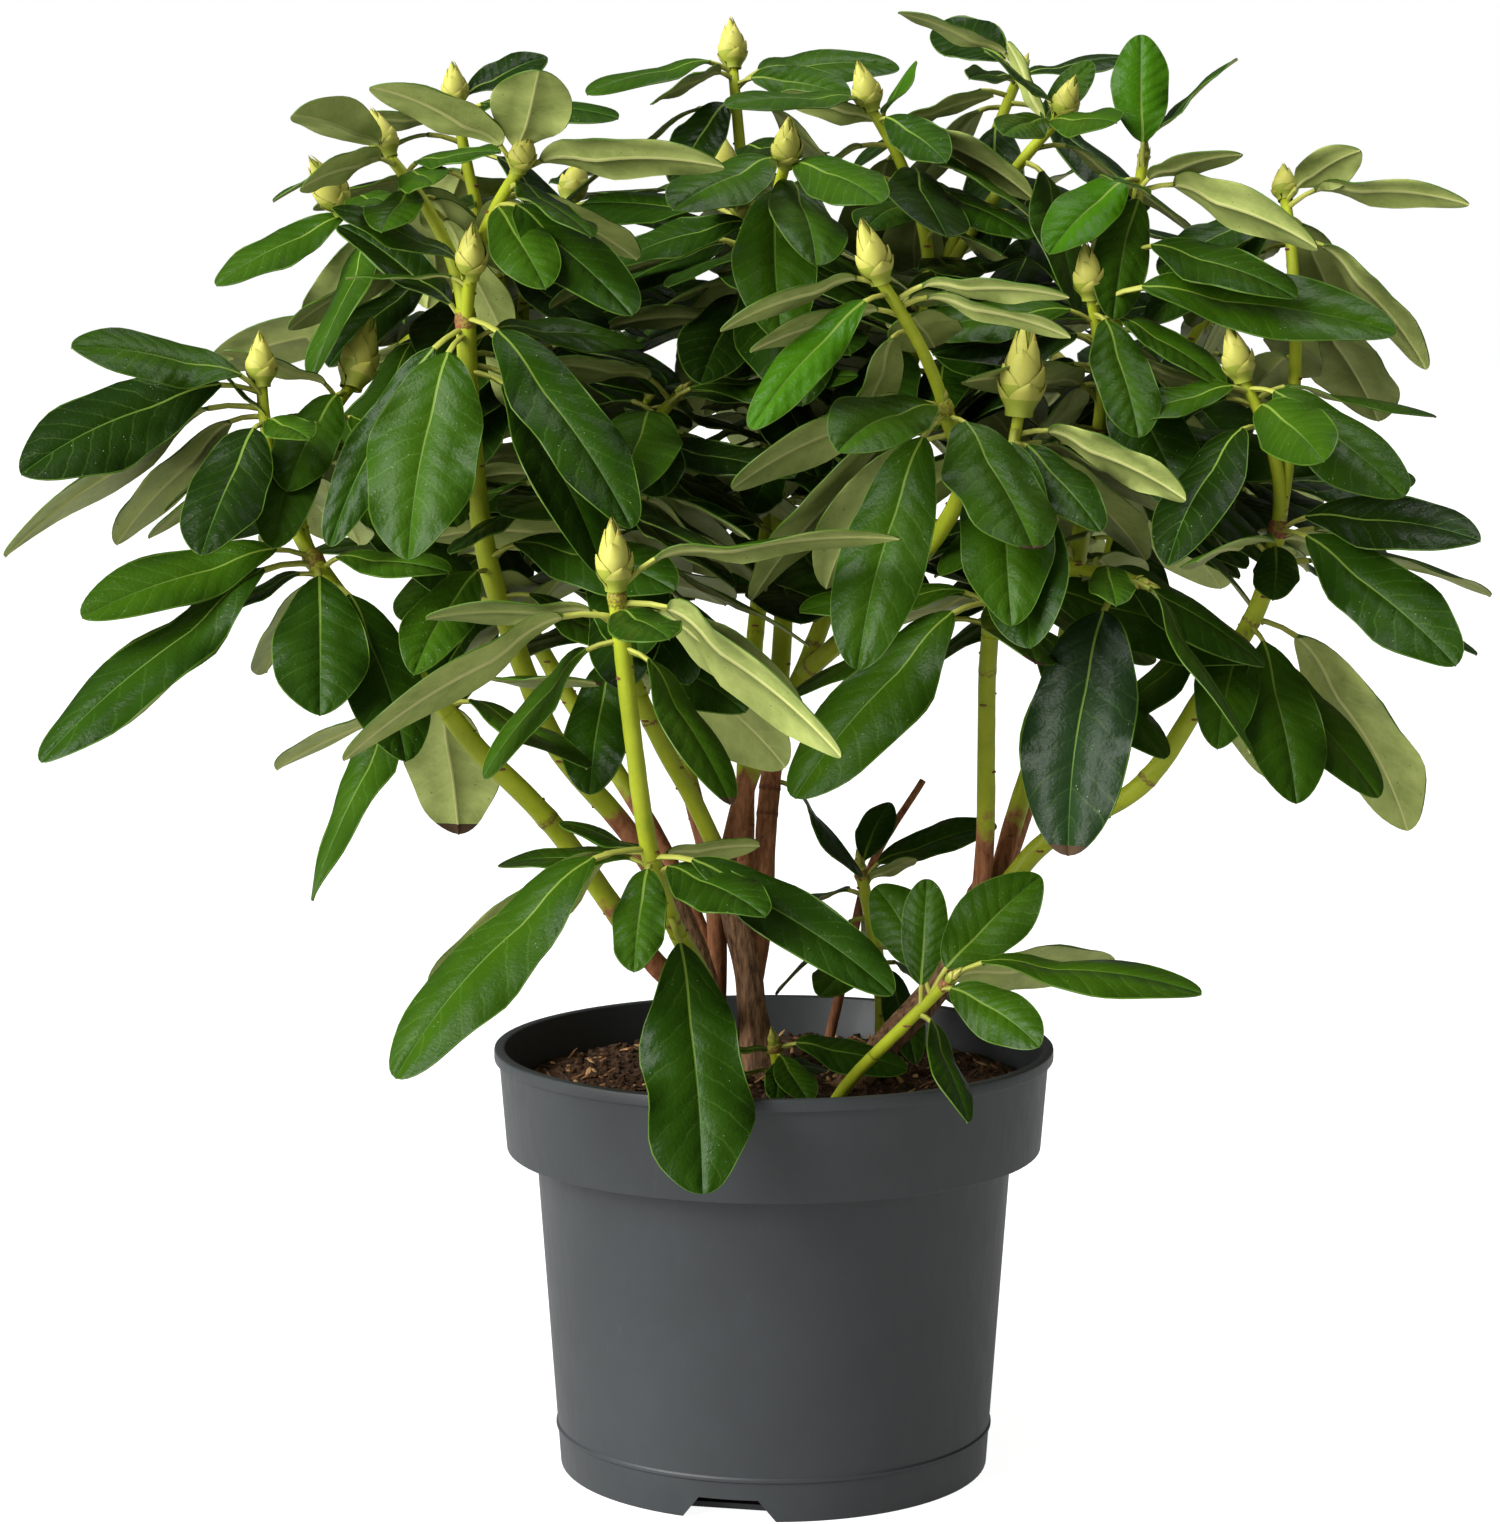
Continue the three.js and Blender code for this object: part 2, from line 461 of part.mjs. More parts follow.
function notchGeometry(heading) {
  const outline = new THREE.Shape();
  outline.moveTo(-NOTCH_WIDE / 2, -1).lineTo(NOTCH_WIDE / 2, -1);
  outline.lineTo(NOTCH_NARROW / 2, NOTCH_HEIGHT).lineTo(-NOTCH_NARROW / 2, NOTCH_HEIGHT);
  const geometry = new THREE.ExtrudeGeometry(outline, { depth: 2 * NOTCH_DEEP, bevelEnabled: false });
  geometry.rotateX(Math.PI / 2).translate(0, -FOOT_RADIUS + NOTCH_DEEP, 0);
  return geometry.rotateZ((heading - 270) * DEGREE);
}

function compostGeometry() {
  const inset = WALL + CLEAR;
  const profile = [
    [0, WALL + CLEAR], [FOOT_RADIUS - inset - NOTCH_DEEP, WALL + CLEAR],
    [FOOT_RADIUS - inset - NOTCH_DEEP, NOTCH_HEIGHT + CLEAR],
    [FOOT_RADIUS - inset, NOTCH_HEIGHT + CLEAR], [BODY_TOP_RADIUS - inset, BAND_FOOT + inset],
    [BAND_FOOT_RADIUS - inset, BAND_FOOT + inset], [BAND_FOOT_RADIUS - inset + 1, SOIL_EDGE],
    [SOIL_FLAT_RADIUS, SOIL_TOP], [0, SOIL_TOP],
  ];
  const points = profile.map(([r, z]) => new THREE.Vector2(r, z));
  return new THREE.LatheGeometry(points, POT_SIDES).rotateX(Math.PI / 2);
}

// ---------------------------------------------------------------- assembly
const plant = new THREE.Group();

function place(name, geometry, material) {
  const mesh = new THREE.Mesh(geometry, material);
  mesh.name = name;
  plant.add(mesh);
}

let pot = solidOf(potGeometry());
for (let k = 0; k < NOTCHES; k++) {
  pot = pot.subtract(solidOf(notchGeometry(NOTCH_HEADING + (360 * k) / NOTCHES)));
}
const compost = solidOf(compostGeometry());
place('pot', largestShell(pot), POT_PLASTIC);
place('compost', largestShell(compost), COMPOST);

const ground = solidOf(new THREE.BoxGeometry(200, 200, 60).translate(0, 0, SOIL_TOP + CLEAR - 30));

// What a leaf must not touch: `whole` for the leaves of other masses, `blade` within one mass.
const obstacles = [pot, compost].map((solid) => ({ mass: -1, whole: boxed(solid) }));

// Trunks and boughs: each later limb is cut clear of the ones before it.
const limbSleeves = [];
function addLimb(name, limb, curve, end, material) {
  const radius = taper(limb);
  const sides = limb.foot > 6 ? 8 : 6;
  const steps = Math.max(3, Math.round(end * (limb.path.length - 1) * STEPS_A_POINT));
  const raw = solidOf(barAlong(curve, radius, sides, steps, 0, end));
  const sleeve = solidOf(barAlong(curve, (t) => radius(t) + CLEAR + 0.1, sides, steps, 0, end));
  let cut = raw.subtract(ground);
  for (const earlier of limbSleeves) {
    if (touches(boxed(cut), earlier)) cut = cut.subtract(earlier.solid);
  }
  limbSleeves.push(boxed(sleeve));
  obstacles.push({ mass: -1, whole: boxed(sleeve) });
  place(name, largestShell(cut), material);
}

for (const trunk of TRUNKS) addLimb(trunk.name, trunk, splineThrough(trunk.path), 1, OLD_BARK);

const masses = LIMBS.map((limb, number) => {
  const curve = splineThrough(limb.path);
  const last = limb.path.length - 1;
  const handover = limb.bare / last;
  if (limb.bare > 0) addLimb(`${limb.name}_bough`, limb, curve, handover, GREEN_BARK);
  return { limb, number, curve, last, handover, wood: [], leaves: [] };
});

// The stem and twigs of every mass.
for (const mass of masses) {
  const { limb, curve, last, handover } = mass;
  const speed = curve.getPoint(handover).distanceTo(curve.getPoint(handover + 1e-3)) / 1e-3;
  const start = limb.bare > 0 ? handover + CLEAR / speed : 0;
  const steps = Math.max(2, Math.round((1 - start) * last * STEPS_A_POINT));
  let stem = solidOf(barAlong(curve, taper(limb), 5, steps, start, 1));
  if (limb.bare === 0) stem = stem.subtract(ground);
  mass.wood.push(stem);
  for (const [whorlNumber, whorl] of limb.whorls.entries()) {
    const from = (whorl.from ?? whorl.on ?? last - FORK_STEP * whorlNumber) / last;
    if (whorl.tip) {
      const root = curve.getPoint(from);
      const tip = new THREE.Vector3(...whorl.tip);
      const bend = curve.getTangent(from).multiplyScalar(0.45 * root.distanceTo(tip)).add(root);
      whorl.twig = new THREE.QuadraticBezierCurve3(root, bend, tip);
      whorl.end = 1;
      const rootRadius = (0.86 - 0.03 * whorlNumber) * taper(limb)(from);
      const radius = (t) => THREE.MathUtils.lerp(rootRadius, TWIG_TIP_RADIUS, t);
      mass.wood.push(solidOf(barAlong(whorl.twig, radius, 4, 2)));
    } else {
      whorl.twig = curve;
      whorl.end = from;
    }
    const tip = whorl.twig.getPoint(whorl.end);
    if (whorl.bud) mass.wood.push(solidOf(budGeometry(tip, whorl.twig.getTangent(whorl.end), whorl.bud)));
  }
  for (const solid of mass.wood) {
    obstacles.push({ mass: mass.number, whole: boxed(solid), blade: boxed(solid) });
  }
}

// Leaves: a first round for the ones with a heading of their own, a second for the rule's.
function leafOf(mass, whorl, whorlNumber, i) {
  const roll = (use) => chance(mass.number, whorlNumber, i, use);
  const length = whorl.twig.getLength();
  const below = (3 + (WHORL_SPAN * i) / Math.max(whorl.leaves, 6)) / length;
  const base = whorl.twig.getPoint(Math.max(whorl.end - below, 0.02));
  const own = whorl.own?.[i];
  if (own) {
    const [heading, pitch, long, lean, halfWidth = LEAF_HALF_WIDTH] = own;
    const towards = Math.cos(heading * DEGREE) < 0 ? -1 : 1;
    return { base, heading, pitch, length: long, roll: lean * towards, halfWidth, arch: LEAF_ARCH };
  }
  const droop = whorl.droop ?? 44;
  const share = i / (whorl.leaves - 1);
  return {
    base,
    heading: whorl.turn + GOLDEN_ANGLE * i + 24 * (roll(1) - 0.5),
    pitch: 12 - (12 + droop) * share + 16 * (roll(2) - 0.5),
    length: whorl.long * (0.82 + 0.18 * share + 0.14 * roll(3)),
    roll: 70 * (roll(4) - 0.5),
    halfWidth: LEAF_HALF_WIDTH * (0.92 + 0.2 * roll(5)),
    arch: LEAF_ARCH * (0.7 + 0.7 * roll(6)),
  };
}

function isFree(leaf, mass) {
  const larger = { ...leaf, length: leaf.length + 1 };
  const whole = boxed(solidOf(leafGeometry(larger, 0, CLEAR)));
  const blade = boxed(solidOf(leafGeometry(larger, BLADE_START, CLEAR)));
  return !obstacles.some((other) => (other.mass === mass.number
    ? touches(blade, other.blade) : touches(whole, other.whole)));
}

for (const withOwn of [true, false]) {
  for (const mass of masses) {
    mass.limb.whorls.forEach((whorl, whorlNumber) => {
      const ownCount = whorl.own?.length ?? 0;
      const first = withOwn ? 0 : ownCount;
      const end = withOwn ? ownCount : whorl.leaves;
      for (let i = first; i < end; i++) {
        const wanted = leafOf(mass, whorl, whorlNumber, i);
        for (const [turn, tilt] of LEAF_TURNS) {
          const leaf = { ...wanted, heading: wanted.heading + turn, pitch: wanted.pitch + tilt };
          if (!isFree(leaf, mass)) continue;
          const whole = solidOf(leafGeometry(leaf, 0, 0));
          const blade = solidOf(leafGeometry(leaf, BLADE_START, 0));
          mass.leaves.push(whole);
          obstacles.push({ mass: mass.number, whole: boxed(whole), blade: boxed(blade) });
          break;
        }
      }
    });
  }
}

for (const mass of masses) {
  const fused = [...mass.wood, ...mass.leaves].reduce((whole, piece) => whole.add(piece));
  place(`${mass.limb.name}_foliage`, largestShell(fused), FOLIAGE);
}

export default plant;
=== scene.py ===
# %% [markdown]
# # A potted rhododendron
# An evergreen shrub with several stems, whorls of leathery leaves and pointed flower buds, in a
# plain nursery pot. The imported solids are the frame: they say where pot, trunk, boughs and masses
# of foliage are. This lesson dresses them with fine meshes and finishes. Lengths in the plan of the
# plant are millimetres, as a grower would measure them, and each piece is scaled to metres once.

# %% Load the frame
import math

import bmesh
import bpy
from mathutils import Matrix, Vector, kdtree, noise


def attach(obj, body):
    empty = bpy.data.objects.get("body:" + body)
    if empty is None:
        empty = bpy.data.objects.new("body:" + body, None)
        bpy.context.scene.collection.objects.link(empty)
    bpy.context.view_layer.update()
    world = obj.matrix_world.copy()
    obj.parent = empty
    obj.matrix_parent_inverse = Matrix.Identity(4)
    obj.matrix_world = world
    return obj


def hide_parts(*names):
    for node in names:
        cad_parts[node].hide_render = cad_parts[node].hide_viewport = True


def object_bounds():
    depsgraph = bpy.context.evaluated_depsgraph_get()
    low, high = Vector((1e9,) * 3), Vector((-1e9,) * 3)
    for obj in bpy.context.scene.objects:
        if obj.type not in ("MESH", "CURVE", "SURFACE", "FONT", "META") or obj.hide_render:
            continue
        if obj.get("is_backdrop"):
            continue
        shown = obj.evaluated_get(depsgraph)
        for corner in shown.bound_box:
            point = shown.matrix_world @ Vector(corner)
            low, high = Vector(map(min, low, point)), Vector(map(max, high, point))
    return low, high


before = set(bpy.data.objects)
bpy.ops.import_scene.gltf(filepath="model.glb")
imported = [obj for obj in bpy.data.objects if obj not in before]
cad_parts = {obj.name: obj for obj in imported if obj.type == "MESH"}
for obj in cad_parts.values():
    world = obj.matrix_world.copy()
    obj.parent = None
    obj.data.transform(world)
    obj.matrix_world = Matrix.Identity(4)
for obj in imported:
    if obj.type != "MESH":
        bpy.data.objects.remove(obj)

MM = 0.001
UP = Vector((0, 0, 1))
cad_box = [list(corner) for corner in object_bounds()]
print("solids in the frame:", len(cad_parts), "box in metres:", cad_box)

# %% [markdown]
# ## The camera
# A long lens at the height of the crown shows a potted plant as a catalogue does: little
# perspective, the pot's lip seen as a flat ellipse. A lens is given in millimetres for a 36 mm
# sensor, so a focal length in pixels is divided by the picture's long side and multiplied by 36.

# %% Place the camera
PICTURE_LONG_SIDE = 1524      # pixels
FOCAL_LENGTH = 3849           # pixels
SENSOR = 36                   # millimetres
LOOKING_DOWN = 6.68           # degrees
CAMERA_PLACE = (-0.0098, -1.562, 0.4748)    # metres

camera_data = bpy.data.cameras.new("portrait_camera")
camera_data.sensor_width = SENSOR
camera_data.lens = FOCAL_LENGTH / PICTURE_LONG_SIDE * SENSOR
camera = bpy.data.objects.new("portrait_camera", camera_data)
camera.location = CAMERA_PLACE
camera.rotation_euler = (math.radians(90 - LOOKING_DOWN), 0, 0)
bpy.context.scene.collection.objects.link(camera)
bpy.context.scene.camera = camera
print("lens:", round(camera_data.lens, 1), "mm")

# %% [markdown]
# ## Colours and nodes
# Colours are written as sRGB hex values, which is how one reads them off a screen. Shaders work
# with linear light, so one function converts them. A second small function adds a node to a
# material with its settings, its plain inputs and its links, and a third starts a material.

# %% Helpers for finishes
MIX_FACTOR, MIX_A, MIX_B, MIX_RESULT = 0, 6, 7, 2   # the colour sockets of a Mix node


def linear(colour):
    """An sRGB hex colour as the linear colour that a shader takes."""
    parts = [int(colour[k:k + 2], 16) / 255 for k in (1, 3, 5)]
    return [p / 12.92 if p <= 0.04045 else ((p + 0.055) / 1.055) ** 2.4 for p in parts] + [1]


def add_node(material, kind, inputs=None, **settings):
    """Adds a node. An input that is another node's output is linked, any other value is set."""
    node = material.node_tree.nodes.new(kind)
    for name, value in settings.items():
        setattr(node, name, value)
    for name, value in (inputs or {}).items():
        if isinstance(value, bpy.types.NodeSocket):
            material.node_tree.links.new(value, node.inputs[name])
        else:
            node.inputs[name].default_value = value
    return node


def start_material(name, **numbers):
    """A material with one plain shader. Socket names are given with _ for each space."""
    material = bpy.data.materials.new(name)
    material.use_nodes = True
    shader = material.node_tree.nodes["Principled BSDF"]
    for socket, value in numbers.items():
        shader.inputs[socket.replace("_", " ")].default_value = value
    return material, shader


def link(material, output, target):
    material.node_tree.links.new(output, target)


# %% [markdown]
# ## Moulded plastic
# The pot is injection-moulded polypropylene, charcoal and satin, made from recycled stock. That
# gives an even dark grey with faint cloudy streaks, a soft highlight, and scuffs from the nursery.
# Polypropylene has an IOR of 1.49. Its moulded grain is a fraction of a millimetre, drawn at 1 mm.

# %% Finish: satin polypropylene
def make_pot_plastic():
    material, shader = start_material("satin_polypropylene", IOR=1.49)
    place = add_node(material, "ShaderNodeTexCoord").outputs["Object"]
    streaks = add_node(material, "ShaderNodeTexNoise",
                       {"Vector": place, "Scale": 1 / (45 * MM), "Detail": 4, "Roughness": 0.6})
    tone = add_node(material, "ShaderNodeMix",
                    {MIX_FACTOR: streaks.outputs["Fac"], MIX_A: linear("#252829"),
                     MIX_B: linear("#313537")}, data_type="RGBA")
    stretch = add_node(material, "ShaderNodeMapping",
                       {"Vector": place, "Scale": (1, 1, 0.25)})
    scuffs = add_node(material, "ShaderNodeTexNoise",
                      {"Vector": stretch.outputs["Vector"], "Scale": 1 / (4 * MM), "Detail": 6,
                       "Roughness": 0.7})
    worn = add_node(material, "ShaderNodeMapRange",
                    {"Value": scuffs.outputs["Fac"], "From Min": 0.62, "From Max": 0.8,
                     "To Min": 0, "To Max": 0.45})
    scuffed = add_node(material, "ShaderNodeMix",
                       {MIX_FACTOR: worn.outputs["Result"], MIX_A: tone.outputs[MIX_RESULT],
                        MIX_B: linear("#414647")}, data_type="RGBA")
    gloss = add_node(material, "ShaderNodeMapRange",
                     {"Value": scuffs.outputs["Fac"], "To Min": 0.34, "To Max": 0.6})
    grain = add_node(material, "ShaderNodeTexNoise",
                     {"Vector": place, "Scale": 1 / (1 * MM), "Detail": 2})
    bump = add_node(material, "ShaderNodeBump",
                    {"Height": grain.outputs["Fac"], "Strength": 0.12, "Distance": 0.3 * MM})
    link(material, scuffed.outputs[MIX_RESULT], shader.inputs["Base Color"])
    link(material, gloss.outputs["Result"], shader.inputs["Roughness"])
    link(material, bump.outputs["Normal"], shader.inputs["Normal"])
    return material


pot_plastic = make_pot_plastic()

# %% [markdown]
# ## Compost
# Potting compost is moist peat and composted bark: nearly black-brown crumbs of one to three
# millimetres, quite matt, with paler chips of bark lying on top. Crumbs that catch light are drawn
# by a bump, and two colours are mixed at crumb size.

# %% Finishes: peat crumbs and bark chips
def make_peat():
    material, shader = start_material("moist_peat", Roughness=0.95, Specular_IOR_Level=0.25)
    place = add_node(material, "ShaderNodeTexCoord").outputs["Object"]
    crumbs = add_node(material, "ShaderNodeTexNoise",
                      {"Vector": place, "Scale": 1 / (2.4 * MM), "Detail": 6, "Roughness": 0.7})
    contrast = add_node(material, "ShaderNodeMapRange",
                        {"Value": crumbs.outputs["Fac"], "From Min": 0.34, "From Max": 0.72})
    tone = add_node(material, "ShaderNodeMix",
                    {MIX_FACTOR: contrast.outputs["Result"], MIX_A: linear("#120a06"),
                     MIX_B: linear("#6a4a30")}, data_type="RGBA")
    bump = add_node(material, "ShaderNodeBump",
                    {"Height": crumbs.outputs["Fac"], "Strength": 1, "Distance": 2.4 * MM})
    link(material, tone.outputs[MIX_RESULT], shader.inputs["Base Color"])
    link(material, bump.outputs["Normal"], shader.inputs["Normal"])
    return material


def make_chip_bark(name, dark, pale):
    material, shader = start_material(name, Roughness=0.85)
    place = add_node(material, "ShaderNodeTexCoord").outputs["Object"]
    fibre = add_node(material, "ShaderNodeTexNoise",
                     {"Vector": place, "Scale": 1 / (3 * MM), "Detail": 4, "Distortion": 1.5})
    tone = add_node(material, "ShaderNodeMix",
                    {MIX_FACTOR: fibre.outputs["Fac"], MIX_A: linear(dark), MIX_B: linear(pale)},
                    data_type="RGBA")
    bump = add_node(material, "ShaderNodeBump",
                    {"Height": fibre.outputs["Fac"], "Strength": 0.6, "Distance": 0.6 * MM})
    link(material, tone.outputs[MIX_RESULT], shader.inputs["Base Color"])
    link(material, bump.outputs["Normal"], shader.inputs["Normal"])
    return material


peat = make_peat()
chip_finishes = [make_chip_bark("pine_bark_chip", "#4a2c18", "#93653c"),
                 make_chip_bark("pale_wood_chip", "#8a6642", "#c79c68"),
                 make_chip_bark("dark_bark_chip", "#2a1a12", "#5c3e29"), peat]

# %% [markdown]
# ## Bark that ages
# A rhododendron's old wood is grey-brown and flaky, its younger wood reddish and smooth, and its
# shoots are yellow-green. One finish covers all three: every point of a limb carries two numbers
# of its own, `age` (1 for the oldest wood, 0 for this year's shoot) and `scar` (1 on the rough
# red-brown rings that bud scales and fallen leaves leave). Noise breaks up the lines between them.

# %% Finish: bark
def make_bark():
    material, shader = start_material("rhododendron_bark", IOR=1.4, Specular_IOR_Level=0.3)
    place = add_node(material, "ShaderNodeTexCoord").outputs["Object"]
    age = add_node(material, "ShaderNodeAttribute", attribute_name="age").outputs["Fac"]
    scar = add_node(material, "ShaderNodeAttribute", attribute_name="scar").outputs["Fac"]
    along = add_node(material, "ShaderNodeMapping", {"Vector": place, "Scale": (1, 1, 0.16)})
    flakes = add_node(material, "ShaderNodeTexNoise",
                      {"Vector": along.outputs["Vector"], "Scale": 1 / (1.8 * MM), "Detail": 7,
                       "Roughness": 0.7, "Distortion": 0.4})
    cloud = add_node(material, "ShaderNodeTexNoise",
                     {"Vector": place, "Scale": 1 / (14 * MM), "Detail": 5, "Roughness": 0.6})
    fleck = add_node(material, "ShaderNodeTexNoise",
                     {"Vector": place, "Scale": 1 / (1.1 * MM), "Detail": 3})

    strips = add_node(material, "ShaderNodeMapRange",
                      {"Value": flakes.outputs["Fac"], "From Min": 0.34, "From Max": 0.68})
    flaky = add_node(material, "ShaderNodeMix",
                     {MIX_FACTOR: strips.outputs["Result"], MIX_A: linear("#3a271d"),
                      MIX_B: linear("#b58a66")}, data_type="RGBA")
    red = add_node(material, "ShaderNodeMix",
                   {MIX_FACTOR: strips.outputs["Result"], MIX_A: linear("#72432a"),
                    MIX_B: linear("#ad744f")}, data_type="RGBA")
    oldest = add_node(material, "ShaderNodeMapRange",
                      {"Value": age, "From Min": 0.68, "From Max": 0.95})
    old = add_node(material, "ShaderNodeMix",
                   {MIX_FACTOR: oldest.outputs["Result"], MIX_A: red.outputs[MIX_RESULT],
                    MIX_B: flaky.outputs[MIX_RESULT]}, data_type="RGBA")
    shoot = add_node(material, "ShaderNodeMix",
                     {MIX_FACTOR: cloud.outputs["Fac"], MIX_A: linear("#7d8d16"),
                      MIX_B: linear("#b6bd30")}, data_type="RGBA")
    flecked = add_node(material, "ShaderNodeMapRange",
                       {"Value": fleck.outputs["Fac"], "From Min": 0.62, "From Max": 0.74,
                        "To Min": 0, "To Max": 0.3})
    young = add_node(material, "ShaderNodeMix",
                     {MIX_FACTOR: flecked.outputs["Result"], MIX_A: shoot.outputs[MIX_RESULT],
                      MIX_B: linear("#6b6524")}, data_type="RGBA")

    ragged = add_node(material, "ShaderNodeMath", {0: cloud.outputs["Fac"], 1: 0.5},
                      operation="SUBTRACT")
    edge = add_node(material, "ShaderNodeMath",
                    {0: ragged.outputs[0], 1: 0.8, 2: age}, operation="MULTIPLY_ADD")
    share = add_node(material, "ShaderNodeMapRange",
                     {"Value": edge.outputs[0], "From Min": 0.3, "From Max": 0.42})
    bark = add_node(material, "ShaderNodeMix",
                    {MIX_FACTOR: share.outputs["Result"], MIX_A: young.outputs[MIX_RESULT],
                     MIX_B: old.outputs[MIX_RESULT]}, data_type="RGBA")
    broken = add_node(material, "ShaderNodeMath",
                      {0: fleck.outputs["Fac"], 1: 1.6, 2: -0.8}, operation="MULTIPLY_ADD")
    rough = add_node(material, "ShaderNodeMath", {0: broken.outputs[0], 1: scar},
                     operation="ADD")
    ring = add_node(material, "ShaderNodeMapRange",
                    {"Value": rough.outputs[0], "From Min": 0.4, "From Max": 0.8,
                     "To Min": 0, "To Max": 0.8})
    scarred = add_node(material, "ShaderNodeMix",
                       {MIX_FACTOR: ring.outputs["Result"], MIX_A: bark.outputs[MIX_RESULT],
                        MIX_B: linear("#6b4030")}, data_type="RGBA")
    gloss = add_node(material, "ShaderNodeMapRange",
                     {"Value": share.outputs["Result"], "To Min": 0.45, "To Max": 0.85})
    relief = add_node(material, "ShaderNodeMath",
                      {0: oldest.outputs["Result"], 1: 0.7, 2: 0.15}, operation="MULTIPLY_ADD")
    bump = add_node(material, "ShaderNodeBump",
                    {"Height": flakes.outputs["Fac"], "Strength": relief.outputs[0],
                     "Distance": 1.2 * MM})
    link(material, scarred.outputs[MIX_RESULT], shader.inputs["Base Color"])
    link(material, gloss.outputs["Result"], shader.inputs["Roughness"])
    link(material, bump.outputs["Normal"], shader.inputs["Normal"])
    return material


bark = make_bark()

# %% [markdown]
# ## Leaves
# A rhododendron's leaf is leathery. A waxy skin makes its upper side a deep, satin green, with a
# thin pale midrib and margin. The underside is dull and pale olive, with a raised yellow rib. Old
# leaves are darker and young ones brighter, so four greens are made and dealt out by whorl. The
# dark one also paints shade: leaves at the back of the crown, inside it and on its right get it.
# A fifth green is for one leaf: its pale specks are dust, and its grey paints a sheen. The side
# veins run from the midrib towards the tip: they follow the leaf's own UV map, whose first number
# is the place across the leaf and whose second is the place along it, and a little noise makes
# them wander. A fine net of the smallest veins and a grain of about a millimetre break the shine
# up, as leather does.

# %% Finishes: the leaf's upper side
VEIN_PAIRS = 11               # side veins on each half of a blade
VEIN_RAKE = 0.14              # how far a vein climbs towards the tip, of the leaf's length
VEIN_WANDER = 9               # radians that noise moves a vein
DUST_SIZE = 3                 # millimetres between specks of dust


def add_vein_wave(material, leaf_map, cloud):
    """How far a place is from the midrib, and a wave that has its crest on each side vein."""
    own = add_node(material, "ShaderNodeSeparateXYZ", {"Vector": leaf_map})
    beside = add_node(material, "ShaderNodeMath", {0: own.outputs["X"], 1: 0.5},
                      operation="SUBTRACT")
    apart = add_node(material, "ShaderNodeMath", {0: beside.outputs[0]}, operation="ABSOLUTE")
    climb = add_node(material, "ShaderNodeMath",
                     {0: apart.outputs[0], 1: -2 * VEIN_RAKE, 2: own.outputs["Y"]},
                     operation="MULTIPLY_ADD")
    wander = add_node(material, "ShaderNodeMath", {0: cloud.outputs["Fac"], 1: VEIN_WANDER},
                      operation="MULTIPLY")
    count = add_node(material, "ShaderNodeMath",
                     {0: climb.outputs[0], 1: VEIN_PAIRS * math.tau, 2: wander.outputs[0]},
                     operation="MULTIPLY_ADD")
    wave = add_node(material, "ShaderNodeMath", {0: count.outputs[0]}, operation="SINE")
    return apart.outputs[0], wave.outputs[0]


